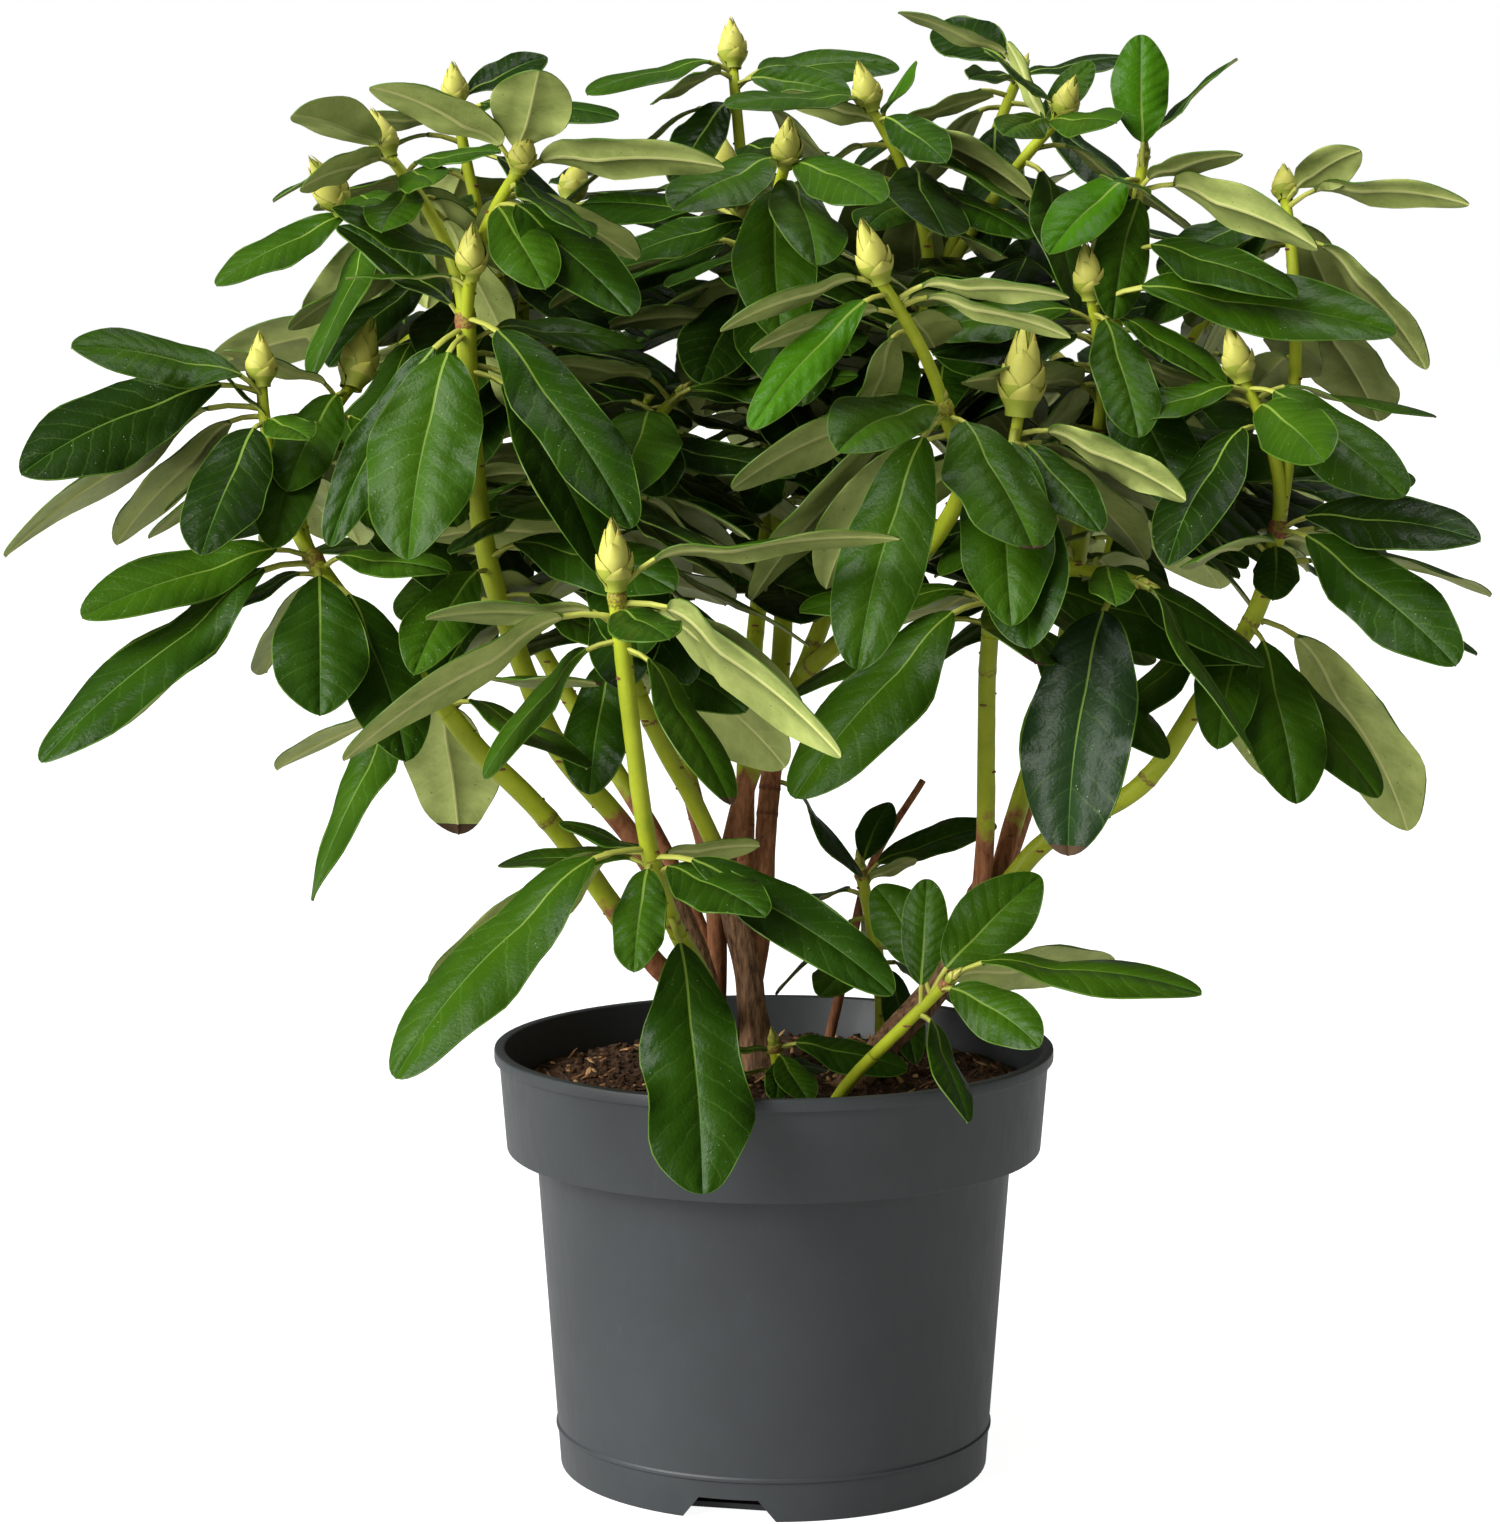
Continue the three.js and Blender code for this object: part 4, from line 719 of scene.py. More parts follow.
LIMBS = [
    dict(name="front", foot=4, tip=3.3, bare=1.75, wood=0.6,
         path=[(-24, -5, 184), (-29, -42, 210), (-41, -76, 240), (-49, -96, 272),
               (-55, -112, 321), (-60, -124, 372)],
         whorls=[
             dict(on=2.1, leaves=1, own=[(281, -52, 122, 0, 0.17)]),
             dict(on=3, leaves=8, long=70, turn=60, droop=5,
                  own=[(212, -35, 138, 18, 0.145), (160, -32, 112, -20),
                       (335, -24, 114, 34, 0.125), (262, -38, 58, 0), (20, 8, 46, -40),
                       (150, 20, 48, 0)]),
             dict(on=5, leaves=8, long=80, turn=70, bud=26,
                  own=[(350, 12, 112, -18, 0.115), (330, -28, 112, -45), (335, -32, 84, -50),
                       (197, -25, 120, -35, 0.13), (300, -4, 66, 15), (180, 4, 76, -25, 0.15)]),
         ]),
    dict(name="left", foot=4.6, tip=3.7, bare=3.6, wood=1.4,
         path=[(-25, -5, 188), (-50, -20, 214), (-87, -48, 271), (-117, -58, 304),
               (-135, -60, 327), (-163, -56, 354), (-183, -50, 380)],
         whorls=[
             dict(on=4.1, leaves=5, long=75, turn=100, droop=30,
                  own=[(238, -44, 108, -14, 0.12), (84, -49, 84, 0, 0.22)]),
             dict(on=6, leaves=7, long=85, turn=20, droop=25,
                  own=[(205, -12, 98, 34, 0.17), (213, -31, 140, 20, 0.13),
                       (276, -40, 82, 0, 0.23), (326, 2, 66, 20), (178, -20, 60, 20, 0.15),
                       (304, -46, 92, 0, 0.2)]),
             dict(tip=(-202, -40, 446), leaves=8, long=85, turn=60, bud=21,
                  own=[(204, -17, 104, 44, 0.2), (210, 15, 84, 40, 0.19), (179, -29, 122, -10),
                       (159, -37, 88, -10), (253, -38, 80, 10, 0.2), (297, -3, 50, 20),
                       (180, 60, 40, 0)]),
             dict(tip=(-170, -8, 445), leaves=8, long=82, turn=0, bud=30,
                  own=[(248, -22, 70, 20), (241, -30, 90, 25), (217, 20, 54, -20, 0.14),
                       (255, -37, 86, 20, 0.14)]),
         ]),
    dict(name="left_centre", foot=4.6, tip=3.9, bare=3.5, wood=1.2,
         path=[(-41, -8, 236), (-61, -18, 268), (-86, -30, 300), (-101, -38, 337),
               (-114, -40, 379), (-119, -46, 425), (-121, -50, 476)],
         whorls=[
             dict(on=4, leaves=7, long=82, turn=30, droop=30,
                  own=[(322, -4, 98, 28), (232, -35, 72, 20), (218, -28, 92, -20)]),
             dict(on=6, leaves=8, long=100, turn=90, droop=45,
                  own=[(320, -42, 120, 25, 0.135), (212, -54, 106, 40, 0.1),
                       (253, -53, 108, 5, 0.21), (142, 33, 84, 20, 0.14), (33, 0, 84, 30, 0.14),
                       (52, -29, 92, 0), (16, -44, 84, 0)]),
             dict(tip=(-151, -40, 535), leaves=9, long=66, turn=20, bud=20,
                  own=[(229, 17, 58, -35), (237, -8, 62, -40), (175, 66, 34, -25, 0.22),
                       (322, 10, 52, 25), (274, -6, 48, 25, 0.22), (122, -36, 92, 0, 0.23),
                       (254, -21, 44, 0, 0.26), (88, -21, 66, 0, 0.24)]),
             dict(tip=(-98, -80, 528), leaves=9, long=75, turn=100, bud=16,
                  own=[(222, 25, 76, -10, 0.21), (306, 39, 72, -10, 0.21), (336, 4, 94, -25),
                       (305, -16, 66, -10), (89, -30, 60, 0, 0.24), (45, -16, 78, -10),
                       (314, -28, 90, 20, 0.17), (303, -29, 72, 20, 0.17)]),
             dict(tip=(-118, -62, 488), leaves=2, long=52, turn=0, bud=22,
                  own=[(190, 28, 62, 30), (157, 2, 52, 0)]),
         ]),
    dict(name="inner_left", foot=3.8, tip=3.3, bare=2.4, wood=0.5,
         path=[(-20, -1, 248), (-32, -12, 276), (-48, -28, 308), (-62, -32, 345),
               (-66, -26, 385)],
         whorls=[
             dict(on=3, leaves=6, long=80, turn=30, droop=35,
                  own=[(258, -45, 76, 0), (345, -32, 82, -62, 0.26)]),
             dict(on=4, leaves=6, long=88, turn=80, own=[(280, -25, 90, 10)]),
             dict(tip=(-40, 0, 440), leaves=6, long=92, turn=200, droop=38),
         ]),
    dict(name="left_rear", foot=4.2, tip=3.5, bare=4.2, wood=2,
         path=[(-25, 10, 148), (-24, 14, 228), (-36, 20, 285), (-50, 32, 330), (-74, 54, 398),
               (-105, 66, 462)],
         whorls=[
             dict(on=5, leaves=5, long=96, turn=10, droop=32),
             dict(tip=(-132, 60, 560), leaves=7, long=82, turn=15, bud=18,
                  own=[(38, 28, 54, 30), (340, 0, 74, 20), (309, 14, 46, 20), (192, 4, 60, -20)]),
             dict(tip=(-176, 22, 516), leaves=7, long=80, turn=150, bud=26),
             dict(tip=(-88, 118, 522), leaves=6, long=90, turn=80, bud=22),
             dict(tip=(-160, 112, 462), leaves=7, long=95, turn=120),
         ]),
    dict(name="centre", foot=4.8, tip=3.7, bare=2.3, wood=2.8,
         path=[(-10, 2, 196), (-5, 8, 226), (-3, 16, 264), (2, 30, 315), (4, 42, 372),
               (-4, 52, 446)],
         whorls=[
             dict(on=4.2, leaves=5, long=95, turn=20, droop=35),
             dict(tip=(-17, 82, 577), leaves=8, long=84, turn=60, bud=21,
                  own=[(205, -8, 70, 15), (226, -2, 56, -30), (348, -6, 52, 52, 0.2),
                       (8, 5, 78, 30), (234, -41, 58, 30)]),
             dict(tip=(-12, 30, 512), leaves=7, long=88, turn=140, bud=20),
             dict(tip=(4, -30, 532), leaves=7, long=84, turn=90, bud=21,
                  own=[(237, -12, 82, 22), (303, -10, 72, 30), (270, -44, 92, 0),
                       (20, -5, 60, 10)]),
             dict(on=2.45, leaves=1, own=[(322, -56, 58, 0, 0.27)]),
         ]),
    dict(name="centre_right", foot=4, tip=3.5, bare=3.5, wood=1,
         path=[(-20, 1, 250), (-8, 6, 290), (14, 20, 332), (38, 32, 400), (62, 42, 470)],
         whorls=[
             dict(on=4, leaves=6, long=98, turn=200, droop=38),
             dict(tip=(40, 36, 557), leaves=11, long=76, turn=90, bud=20,
                  own=[(211, 2, 74, 18), (300, -19, 56, 35), (317, -18, 74, -35),
                       (59, 48, 40, -30), (170, 20, 50, -35), (20, 22, 52, -25)]),
             dict(tip=(116, 20, 553), leaves=8, long=80, turn=40, bud=18,
                  own=[(221, 34, 50, 35), (241, -5, 46, 30, 0.21), (300, 3, 52, 30, 0.21),
                       (29, 50, 42, 35), (180, 72, 44, -20)]),
             dict(tip=(105, 92, 576), leaves=8, long=80, turn=20,
                  own=[(197, 25, 62, -8, 0.16), (128, 24, 62, 40, 0.2), (240, 2, 44, 25),
                       (15, 16, 56, 20)]),
         ]),
    dict(name="centre_front", foot=4, tip=3, bare=2.4, wood=0,
         path=[(12, 18, 326), (47, -28, 364), (72, -68, 406), (64, -88, 440)],
         whorls=[
             dict(on=3, leaves=7, long=80, turn=40, droop=30,
                  own=[(195, -19, 92, -38, 0.16), (237, -55, 116, 15, 0.15),
                       (300, -38, 78, 0, 0.27), (150, -39, 116, -10, 0.15)]),
             dict(tip=(39, -110, 486), leaves=9, long=70, turn=100, bud=24,
                  own=[(200, -13, 70, -30, 0.13), (214, -38, 82, 38, 0.12),
                       (207, 43, 42, -10, 0.22), (335, 2, 72, -28, 0.125),
                       (352, -9, 68, -25, 0.125), (60, 5, 56, -20), (207, -15, 64, -35, 0.14),
                       (75, -11, 52, -20, 0.28)]),
         ]),
    dict(name="right_front", foot=4, tip=3.4, bare=2.5, wood=1,
         path=[(84, -4, 234), (86, -10, 264), (85, -30, 328), (86, -50, 364)],
         whorls=[
             dict(on=3, leaves=8, long=88, turn=80, droop=30,
                  own=[(208, -39, 118, 22), (345, -11, 108, 32), (190, 0, 80, 20)]),
             dict(tip=(94, -72, 436), leaves=8, long=85, turn=60, bud=36,
                  own=[(180, 41, 74, -40, 0.22), (265, -46, 100, 0), (335, -18, 76, -38),
                       (309, -33, 60, 25), (30, -20, 80, 0)]),
             dict(tip=(138, -88, 372), leaves=7, long=78, turn=20, droop=30,
                  own=[(242, -62, 116, 5, 0.19), (310, -40, 98, -30, 0.15), (270, -10, 50, 0)]),
         ]),
    dict(name="right_centre", foot=4.2, tip=3.6, bare=2.5, wood=0.9,
         path=[(90, 0, 236), (100, 4, 272), (117, 10, 325), (124, 2, 380), (130, -16, 428)],
         whorls=[
             dict(on=4, leaves=8, long=88, turn=100, droop=40,
                  own=[(270, -45, 80, 0, 0.21), (310, -44, 88, 12, 0.2), (350, -5, 98, 30)]),
             dict(tip=(125, -30, 480), leaves=8, long=85, turn=170, bud=22,
                  own=[(350, -5, 122, 38, 0.16), (285, -42, 72, 0), (335, -25, 62, 20)]),
             dict(tip=(148, 0, 535), leaves=9, long=68, turn=200,
                  own=[(90, 76, 56, 0, 0.21), (20, 56, 66, -12, 0.14), (224, -28, 64, 30, 0.2),
                       (245, -44, 66, 38), (322, -15, 88, -40), (316, 17, 56, -15),
                       (221, -2, 56, 20)]),
         ]),
    dict(name="right", foot=4.2, tip=3.6, bare=3.4, wood=0.2,
         path=[(92, -6, 238), (112, -12, 262), (147, -30, 286), (169, -40, 321),
               (190, -48, 358), (198, -50, 392)],
         whorls=[
             dict(on=4, leaves=6, long=80, turn=130, droop=45,
                  own=[(12, -52, 112, -25, 0.21), (285, -52, 84, 0, 0.2), (240, -40, 70, 20)]),
             dict(on=5, leaves=8, long=82, turn=100, droop=15,
                  own=[(318, -30, 98, 36, 0.18), (335, 0, 84, 36, 0.2), (8, -14, 94, 0),
                       (262, -30, 38, 0, 0.24), (35, -5, 60, -30)]),
             dict(tip=(183, -50, 448), leaves=8, long=82, turn=110, bud=22,
                  own=[(323, -30, 82, 34, 0.2), (200, -10, 60, 25)]),
             dict(tip=(208, 20, 520), leaves=9, long=72, turn=100, bud=16,
                  own=[(304, 25, 50, -38, 0.2), (326, 1, 82, -30, 0.13), (50, -46, 62, 0, 0.24),
                       (214, -19, 72, 20), (132, -38, 68, 0, 0.24)]),
         ]),
    dict(name="low_right", foot=2.7, tip=2.2, bare=1.5, wood=0,
         path=[(16, -50, 148), (30, -66, 173), (48, -84, 196), (66, -100, 218)],
         whorls=[
             dict(on=3, leaves=7, long=55, turn=200,
                  own=[(346, 1, 103, 10), (312, -14, 58, 40, 0.2), (25, 42, 66, 45, 0.22),
                       (120, 43, 58, 40, 0.2), (8, 10, 92, -40), (115, 60, 52, 0)]),
         ]),
    dict(name="rear_low", foot=3.2, tip=2.6, bare=0.8, wood=0.4,
         path=[(46, 40, 148), (45, 43, 196), (37, 44, 240)],
         whorls=[
             dict(on=1.3, leaves=3, long=52, turn=30, droop=20,
                  own=[(244, -10, 60, 15), (300, -52, 52, 0)]),
             dict(on=2, leaves=7, long=52, turn=100,
                  own=[(51, 41, 42, 20), (5, 23, 64, 25), (319, 30, 34, -20)]),
         ]),
    dict(name="rear_left", foot=4.2, tip=3.5, bare=2.5, wood=1.3,
         path=[(-24, 13, 204), (-50, 44, 256), (-92, 92, 316), (-122, 120, 366)],
         whorls=[
             dict(on=3, leaves=5, long=92, turn=60, droop=30),
             dict(tip=(-158, 148, 412), leaves=6, long=92, turn=120, bud=24),
             dict(tip=(-210, 62, 392), leaves=6, long=92, turn=140),
             dict(tip=(-92, 188, 408), leaves=6, long=92, turn=80, bud=24),
         ]),
    dict(name="rear_centre", foot=4.4, tip=3.6, bare=2.6, wood=1.3,
         path=[(-9, 2, 190), (-12, 50, 262), (-8, 98, 330), (0, 124, 396)],
         whorls=[
             dict(on=3, leaves=5, long=92, turn=90, droop=30),
             dict(tip=(-20, 160, 530), leaves=7, long=88, turn=60, bud=26),
             dict(tip=(-50, 206, 470), leaves=6, long=90, turn=90),
             dict(tip=(46, 206, 452), leaves=6, long=90, turn=40, bud=24),
             dict(tip=(6, 198, 376), leaves=7, long=86, turn=70, droop=20),
         ]),
    dict(name="rear_right", foot=4.6, tip=3.6, bare=2.5, wood=1.2,
         path=[(88, 0, 228), (110, 40, 282), (138, 84, 340), (152, 106, 396)],
         whorls=[
             dict(on=3, leaves=5, long=90, turn=10, droop=30),
             dict(tip=(108, 148, 520), leaves=7, long=88, turn=70, bud=26),
             dict(tip=(186, 92, 474), leaves=7, long=85, turn=30),
             dict(tip=(134, 196, 440), leaves=6, long=88, turn=60, bud=24),
             dict(tip=(214, 104, 392), leaves=7, long=80, turn=10, droop=22),
         ]),
    dict(name="base", foot=3, tip=2.4, bare=0, wood=0.3,
         path=[(4, -30, 148), (2, -36, 170), (0, -42, 182)],
         whorls=[
             dict(on=2, leaves=6, long=34, turn=200, droop=10,
                  own=[(325, -18, 56, 32), (285, -30, 34, 0, 0.25), (178, 5, 34, 0)]),
         ]),
]
print("limbs:", len(LIMBS), "whorls:", sum(len(limb["whorls"]) for limb in LIMBS))

# %% [markdown]
# ## Curves
# A limb runs smoothly through its points. A Catmull-Rom spline does that: each stretch between
# two points also looks at the points before and after. Twigs are simpler: they leave the limb in
# its own direction and bend once, which is a quadratic Bezier curve. Both are small functions
# that give a point for a place from 0 to 1.

# %% Curves and what is measured on them
def spline_through(points):
    """A smooth curve through all the points, as a function of the place from 0 to 1."""
    points = [Vector(point) for point in points]
    points = [2 * points[0] - points[1], *points, 2 * points[-1] - points[-2]]

    def point_at(place):
        place = min(max(place, 0), 1) * (len(points) - 3)
        k = min(int(place), len(points) - 4)
        t = place - k
        before, start, end, after = points[k:k + 4]
        leaving, arriving = 0.5 * (end - before), 0.5 * (after - start)
        return (start + leaving * t + (3 * (end - start) - 2 * leaving - arriving) * t * t
                + (2 * (start - end) + leaving + arriving) * t ** 3)

    return point_at


def bent_once(root, bend, tip):
    return lambda t: (1 - t) ** 2 * root + 2 * t * (1 - t) * bend + t * t * tip


def direction(curve, place):
    step = 1e-4
    return (curve(min(place + step, 1)) - curve(max(place - step, 0))).normalized()


def length_of(curve):
    stops = [curve(k / 200) for k in range(201)]
    return sum((b - a).length for a, b in zip(stops, stops[1:]))


# %% [markdown]
# ## Limbs with relief
# A limb is a cylinder bent along its curve. The cylinder is cut into rings, and each point goes to
# its place on the curve, at the limb's radius there. The radius is what gives the relief: old
# wood has ridges that run along it, and a swollen ring marks where a year's growth began. Each
# point also gets the `age` and `scar` that the bark reads.

# %% Helper: a limb along a curve
LUMPS, JOINT_SWELL = 0.05, 0.08             # of the limb's radius


def taper(limb):
    flare = limb.get("flare", 0)

    def radius(place):
        return limb["foot"] + (limb["tip"] - limb["foot"]) * place + flare * math.exp(-9 * place)

    return radius


def even_taper(foot, tip):
    return lambda place: foot + (tip - foot) * place


def start_wood():
    """A bmesh whose points can carry an age and a scar."""
    shape = bmesh.new()
    shape.verts.layers.float.new("age")
    shape.verts.layers.float.new("scar")
    return shape


def add_limb(shape, curve, radius, start, end, sides, rings, age, joints=(), ridges=0.03):
    """Bends a ringed cylinder along part of a curve. Joints are places of swollen rings."""
    age_layer = shape.verts.layers.float["age"]
    scar_layer = shape.verts.layers.float["scar"]
    made = bmesh.ops.create_cone(shape, cap_ends=True, segments=sides, radius1=1, radius2=1,
                                 depth=1)["verts"]
    uprights = {edge for corner in made for edge in corner.link_edges
                if abs(edge.verts[0].co.z - edge.verts[1].co.z) > 0.5}
    cut = bmesh.ops.subdivide_edges(shape, edges=list(uprights), cuts=rings - 1)
    rings_made = [part for part in cut["geom_inner"] if isinstance(part, bmesh.types.BMVert)]
    corners = {corner for part in rings_made for face in part.link_faces for corner in face.verts}
    total = length_of(curve)
    for corner in corners:
        place = start + (end - start) * (corner.co.z + 0.5)
        middle, run = curve(place), direction(curve, place)
        out = Vector((corner.co.x, corner.co.y, 0))
        out.rotate(UP.rotation_difference(run))
        old = age(place)
        wide = radius(place)
        scar = 0
        for joint in joints:
            near = math.exp(-((place - joint) * total / (0.3 * wide)) ** 2)
            scar = max(scar, near)
        rough = noise.noise(middle / 9 + out * 1.6)
        groove = noise.noise(Vector((out.x * 3, out.y * 3, middle.z / 30)))
        swell = 1 + LUMPS * rough + ridges * (0.3 + old) * groove + JOINT_SWELL * scar
        corner.co = middle + out * wide * swell
        corner[age_layer] = old
        corner[scar_layer] = scar
        for face in corner.link_faces:
            face.smooth = len(face.verts) == 4


def same_age(value):
    return lambda place: value


# %% Make the trunks and boughs
SCAR_SIZE = 1.3               # radius of a fallen leaf's scar
SCAR_SPACING = 9              # millimetres of shoot for each scar
SCARLESS_AGE = 0.7            # older wood than this has lost its leaf scars
SCAR_GAPS = 0.35              # of the places have none


def add_scars(shape, curve, radius, start, end, age, seed):
    """Small flat scars of fallen leaves, which follow the golden angle up a young shoot."""
    age_layer = shape.verts.layers.float["age"]
    scar_layer = shape.verts.layers.float["scar"]
    total = length_of(curve)
    count = int((end - start) * total / SCAR_SPACING)
    for k in range(count):
        place = start + (end - start) * (k + chance(seed, k, 0, 1)) / max(count, 1)
        if age(place) > SCARLESS_AGE or chance(seed, k, 0, 2) < SCAR_GAPS:
            continue
        run = direction(curve, place)
        out = Vector((math.cos(math.radians(GOLDEN_ANGLE * k)),
                      math.sin(math.radians(GOLDEN_ANGLE * k)), 0))
        out.rotate(UP.rotation_difference(run))
        made = bmesh.ops.create_cone(shape, cap_ends=True, segments=7, radius1=SCAR_SIZE,
                                     radius2=0.6 * SCAR_SIZE, depth=0.5)["verts"]
        bmesh.ops.scale(shape, verts=made, vec=(1.4, 0.5, 1))
        turned = out.to_track_quat("Z", "Y").to_matrix()
        bmesh.ops.rotate(shape, verts=made, cent=(0, 0, 0), matrix=turned)
        bmesh.ops.translate(shape, verts=made, vec=curve(place) + out * (radius(place) + 0.1))
        for corner in made:
            corner[age_layer] = 0.4
            corner[scar_layer] = 1


BOUGH_AGE = 0.72              # a bough's brown wood is younger and redder than the trunk's
for trunk in TRUNKS:
    wood = start_wood()
    curve = spline_through(trunk["path"])
    thick = trunk["foot"] > 4
    sides, rings = (28, 70) if thick else (10, 30)
    add_limb(wood, curve, taper(trunk), 0, 1, sides, rings,
             same_age(1 if thick else BOUGH_AGE), joints=(0.97,) if thick else (0.4, 0.8),
             ridges=0.22 if thick else 0.05)
    piece = make_piece(f"{trunk['name']}_bark", wood, [bark], "old_bark", trunk["name"])
    print(piece.name, len(piece.data.polygons), "faces")


def age_along(limb):
    """Old wood at a limb's foot, 0 past the point where its bark is still green."""
    last = len(limb["path"]) - 1
    return lambda place: BOUGH_AGE * min(max(limb["wood"] + 0.5 - place * last, 0), 1)


for number, limb in enumerate(LIMBS):
    if limb["bare"] == 0:
        continue
    wood = start_wood()
    curve = spline_through(limb["path"])
    last = len(limb["path"]) - 1
    handover = limb["bare"] / last
    age = age_along(limb)
    joints = [place / last for place in (0.1, 2.1) if place < limb["bare"]]
    add_limb(wood, curve, taper(limb), 0, handover, 14, 22 * math.ceil(limb["bare"]), age,
             joints=joints, ridges=0.08)
    add_scars(wood, curve, taper(limb), 0.1 * handover, handover, age, number)
    make_piece(f"{limb['name']}_bough_bark", wood, [bark], "green_bark", f"{limb['name']}_bough")

# %% [markdown]
# ## A leaf
# The leaf is a grid of quads, nine points across and 25 along. The columns are the two pale
# margins, the two halves of the blade and the narrow midrib. The rows are closest where the
# outline turns most, at the stalk and the tip. The grid is bent down an arc, as the solid leaf
# is, and then shaped: the stalk is lifted, the midrib sunk, and the halves cupped, twisted and
# waved a little, each leaf by its own chance. A Solidify modifier gives it its thickness, and a
# vertex group makes that more under the midrib and on the stalk. The same modifier hands the
# underside and the rim their own finishes, further down the list of materials.

# %% Helper: grow one leaf
LEAF_ARCH = 32
LEAF_ROOT = 1.6
LEAF_HALF_WIDTH = 0.18
ALONG = (0, 0.06, 0.12, 0.18, 0.2, 0.22, 0.25, 0.29, 0.34, 0.39, 0.445, 0.5, 0.555, 0.61, 0.665,
         0.72, 0.77, 0.82, 0.865, 0.905, 0.94, 0.967, 0.986, 0.996, 1)
STALK_END = 0.18
STALK_LIFT = 0.058            # of the leaf's length
LIFT_END = 0.42               # place along the leaf where the lift has died away
MARGIN_WIDTH = 0.35
THICKEST = 2.4                # the stalk
BLADE_THICKNESS, RIB_THICKNESS = 0.2, 0.6     # of the thickest
COLUMNS, ROWS = 8, len(ALONG) - 1
RIB_LINE = COLUMNS // 2       # the middle one of the nine points
RIB_SUNK = 0.35
GREENS = len(leaf_skins)
MIDRIB_SLOT, STALK_SLOT, WITHERED_SLOT, MARGIN_SLOT = range(GREENS, GREENS + 4)
top_finishes = [*leaf_skins, midrib, stalk_skin, withered, margin]
back_finishes = [leaf_back] * GREENS + [rib_below, stalk_skin, withered, leaf_back]
rim_finishes = [margin] * GREENS + [margin, stalk_skin, withered, margin]
leaf_finishes = top_finishes + back_finishes + rim_finishes
SLOTS_A_SIDE = len(top_finishes)


def half_width_at(leaf, along):
    """Half the leaf's width in millimetres: a stalk, then a long oval blade with a point."""
    stalk = 0.5 + 0.008 * leaf["length"]
    if along <= STALK_END:
        return stalk
    t = (along - STALK_END) / (1 - STALK_END)
    oval = math.sin(math.pi * t ** leaf.get("forward", 1.08)) if t < 1 else 0
    blade = max(oval, 0) ** leaf.get("blunt", 0.52) * leaf["half_width"] * leaf["length"]
    return max(blade, stalk * (1 - t), 0.25)


def offsets_across(leaf, along):
    """Where the nine points of a row lie across the leaf, in millimetres."""
    half = half_width_at(leaf, along)
    rim = half - min(MARGIN_WIDTH, 0.35 * half)
    rib = min(0.64 - 0.5 * along, 0.3 * half)
    middle = 0.5 * (rib + rim)
    return (-half, -rim, -middle, -rib, 0, rib, middle, rim, half)


def leaf_line(leaf, along):
    """Point, run, side and face of the leaf's middle line, which bends down an arc."""
    heading, arch = math.radians(leaf["heading"]), math.radians(leaf["arch"])
    first_pitch = math.radians(leaf["pitch"]) + arch / 2
    pitch = first_pitch - arch * along
    ahead = Vector((math.cos(heading), math.sin(heading), 0))
    level = Vector((-ahead.y, ahead.x, 0))
    reach = (math.sin(first_pitch) - math.sin(pitch)) / arch
    rise = (math.cos(pitch) - math.cos(first_pitch)) / arch
    run = ahead * math.cos(pitch) + UP * math.sin(pitch)
    point = (leaf["base"] - ahead * LEAF_ROOT + ahead * reach * leaf["length"]
             + UP * rise * leaf["length"])
    roll = Matrix.Rotation(math.radians(leaf["roll"]), 3, run)
    return point, run, roll @ level, roll @ run.cross(level)


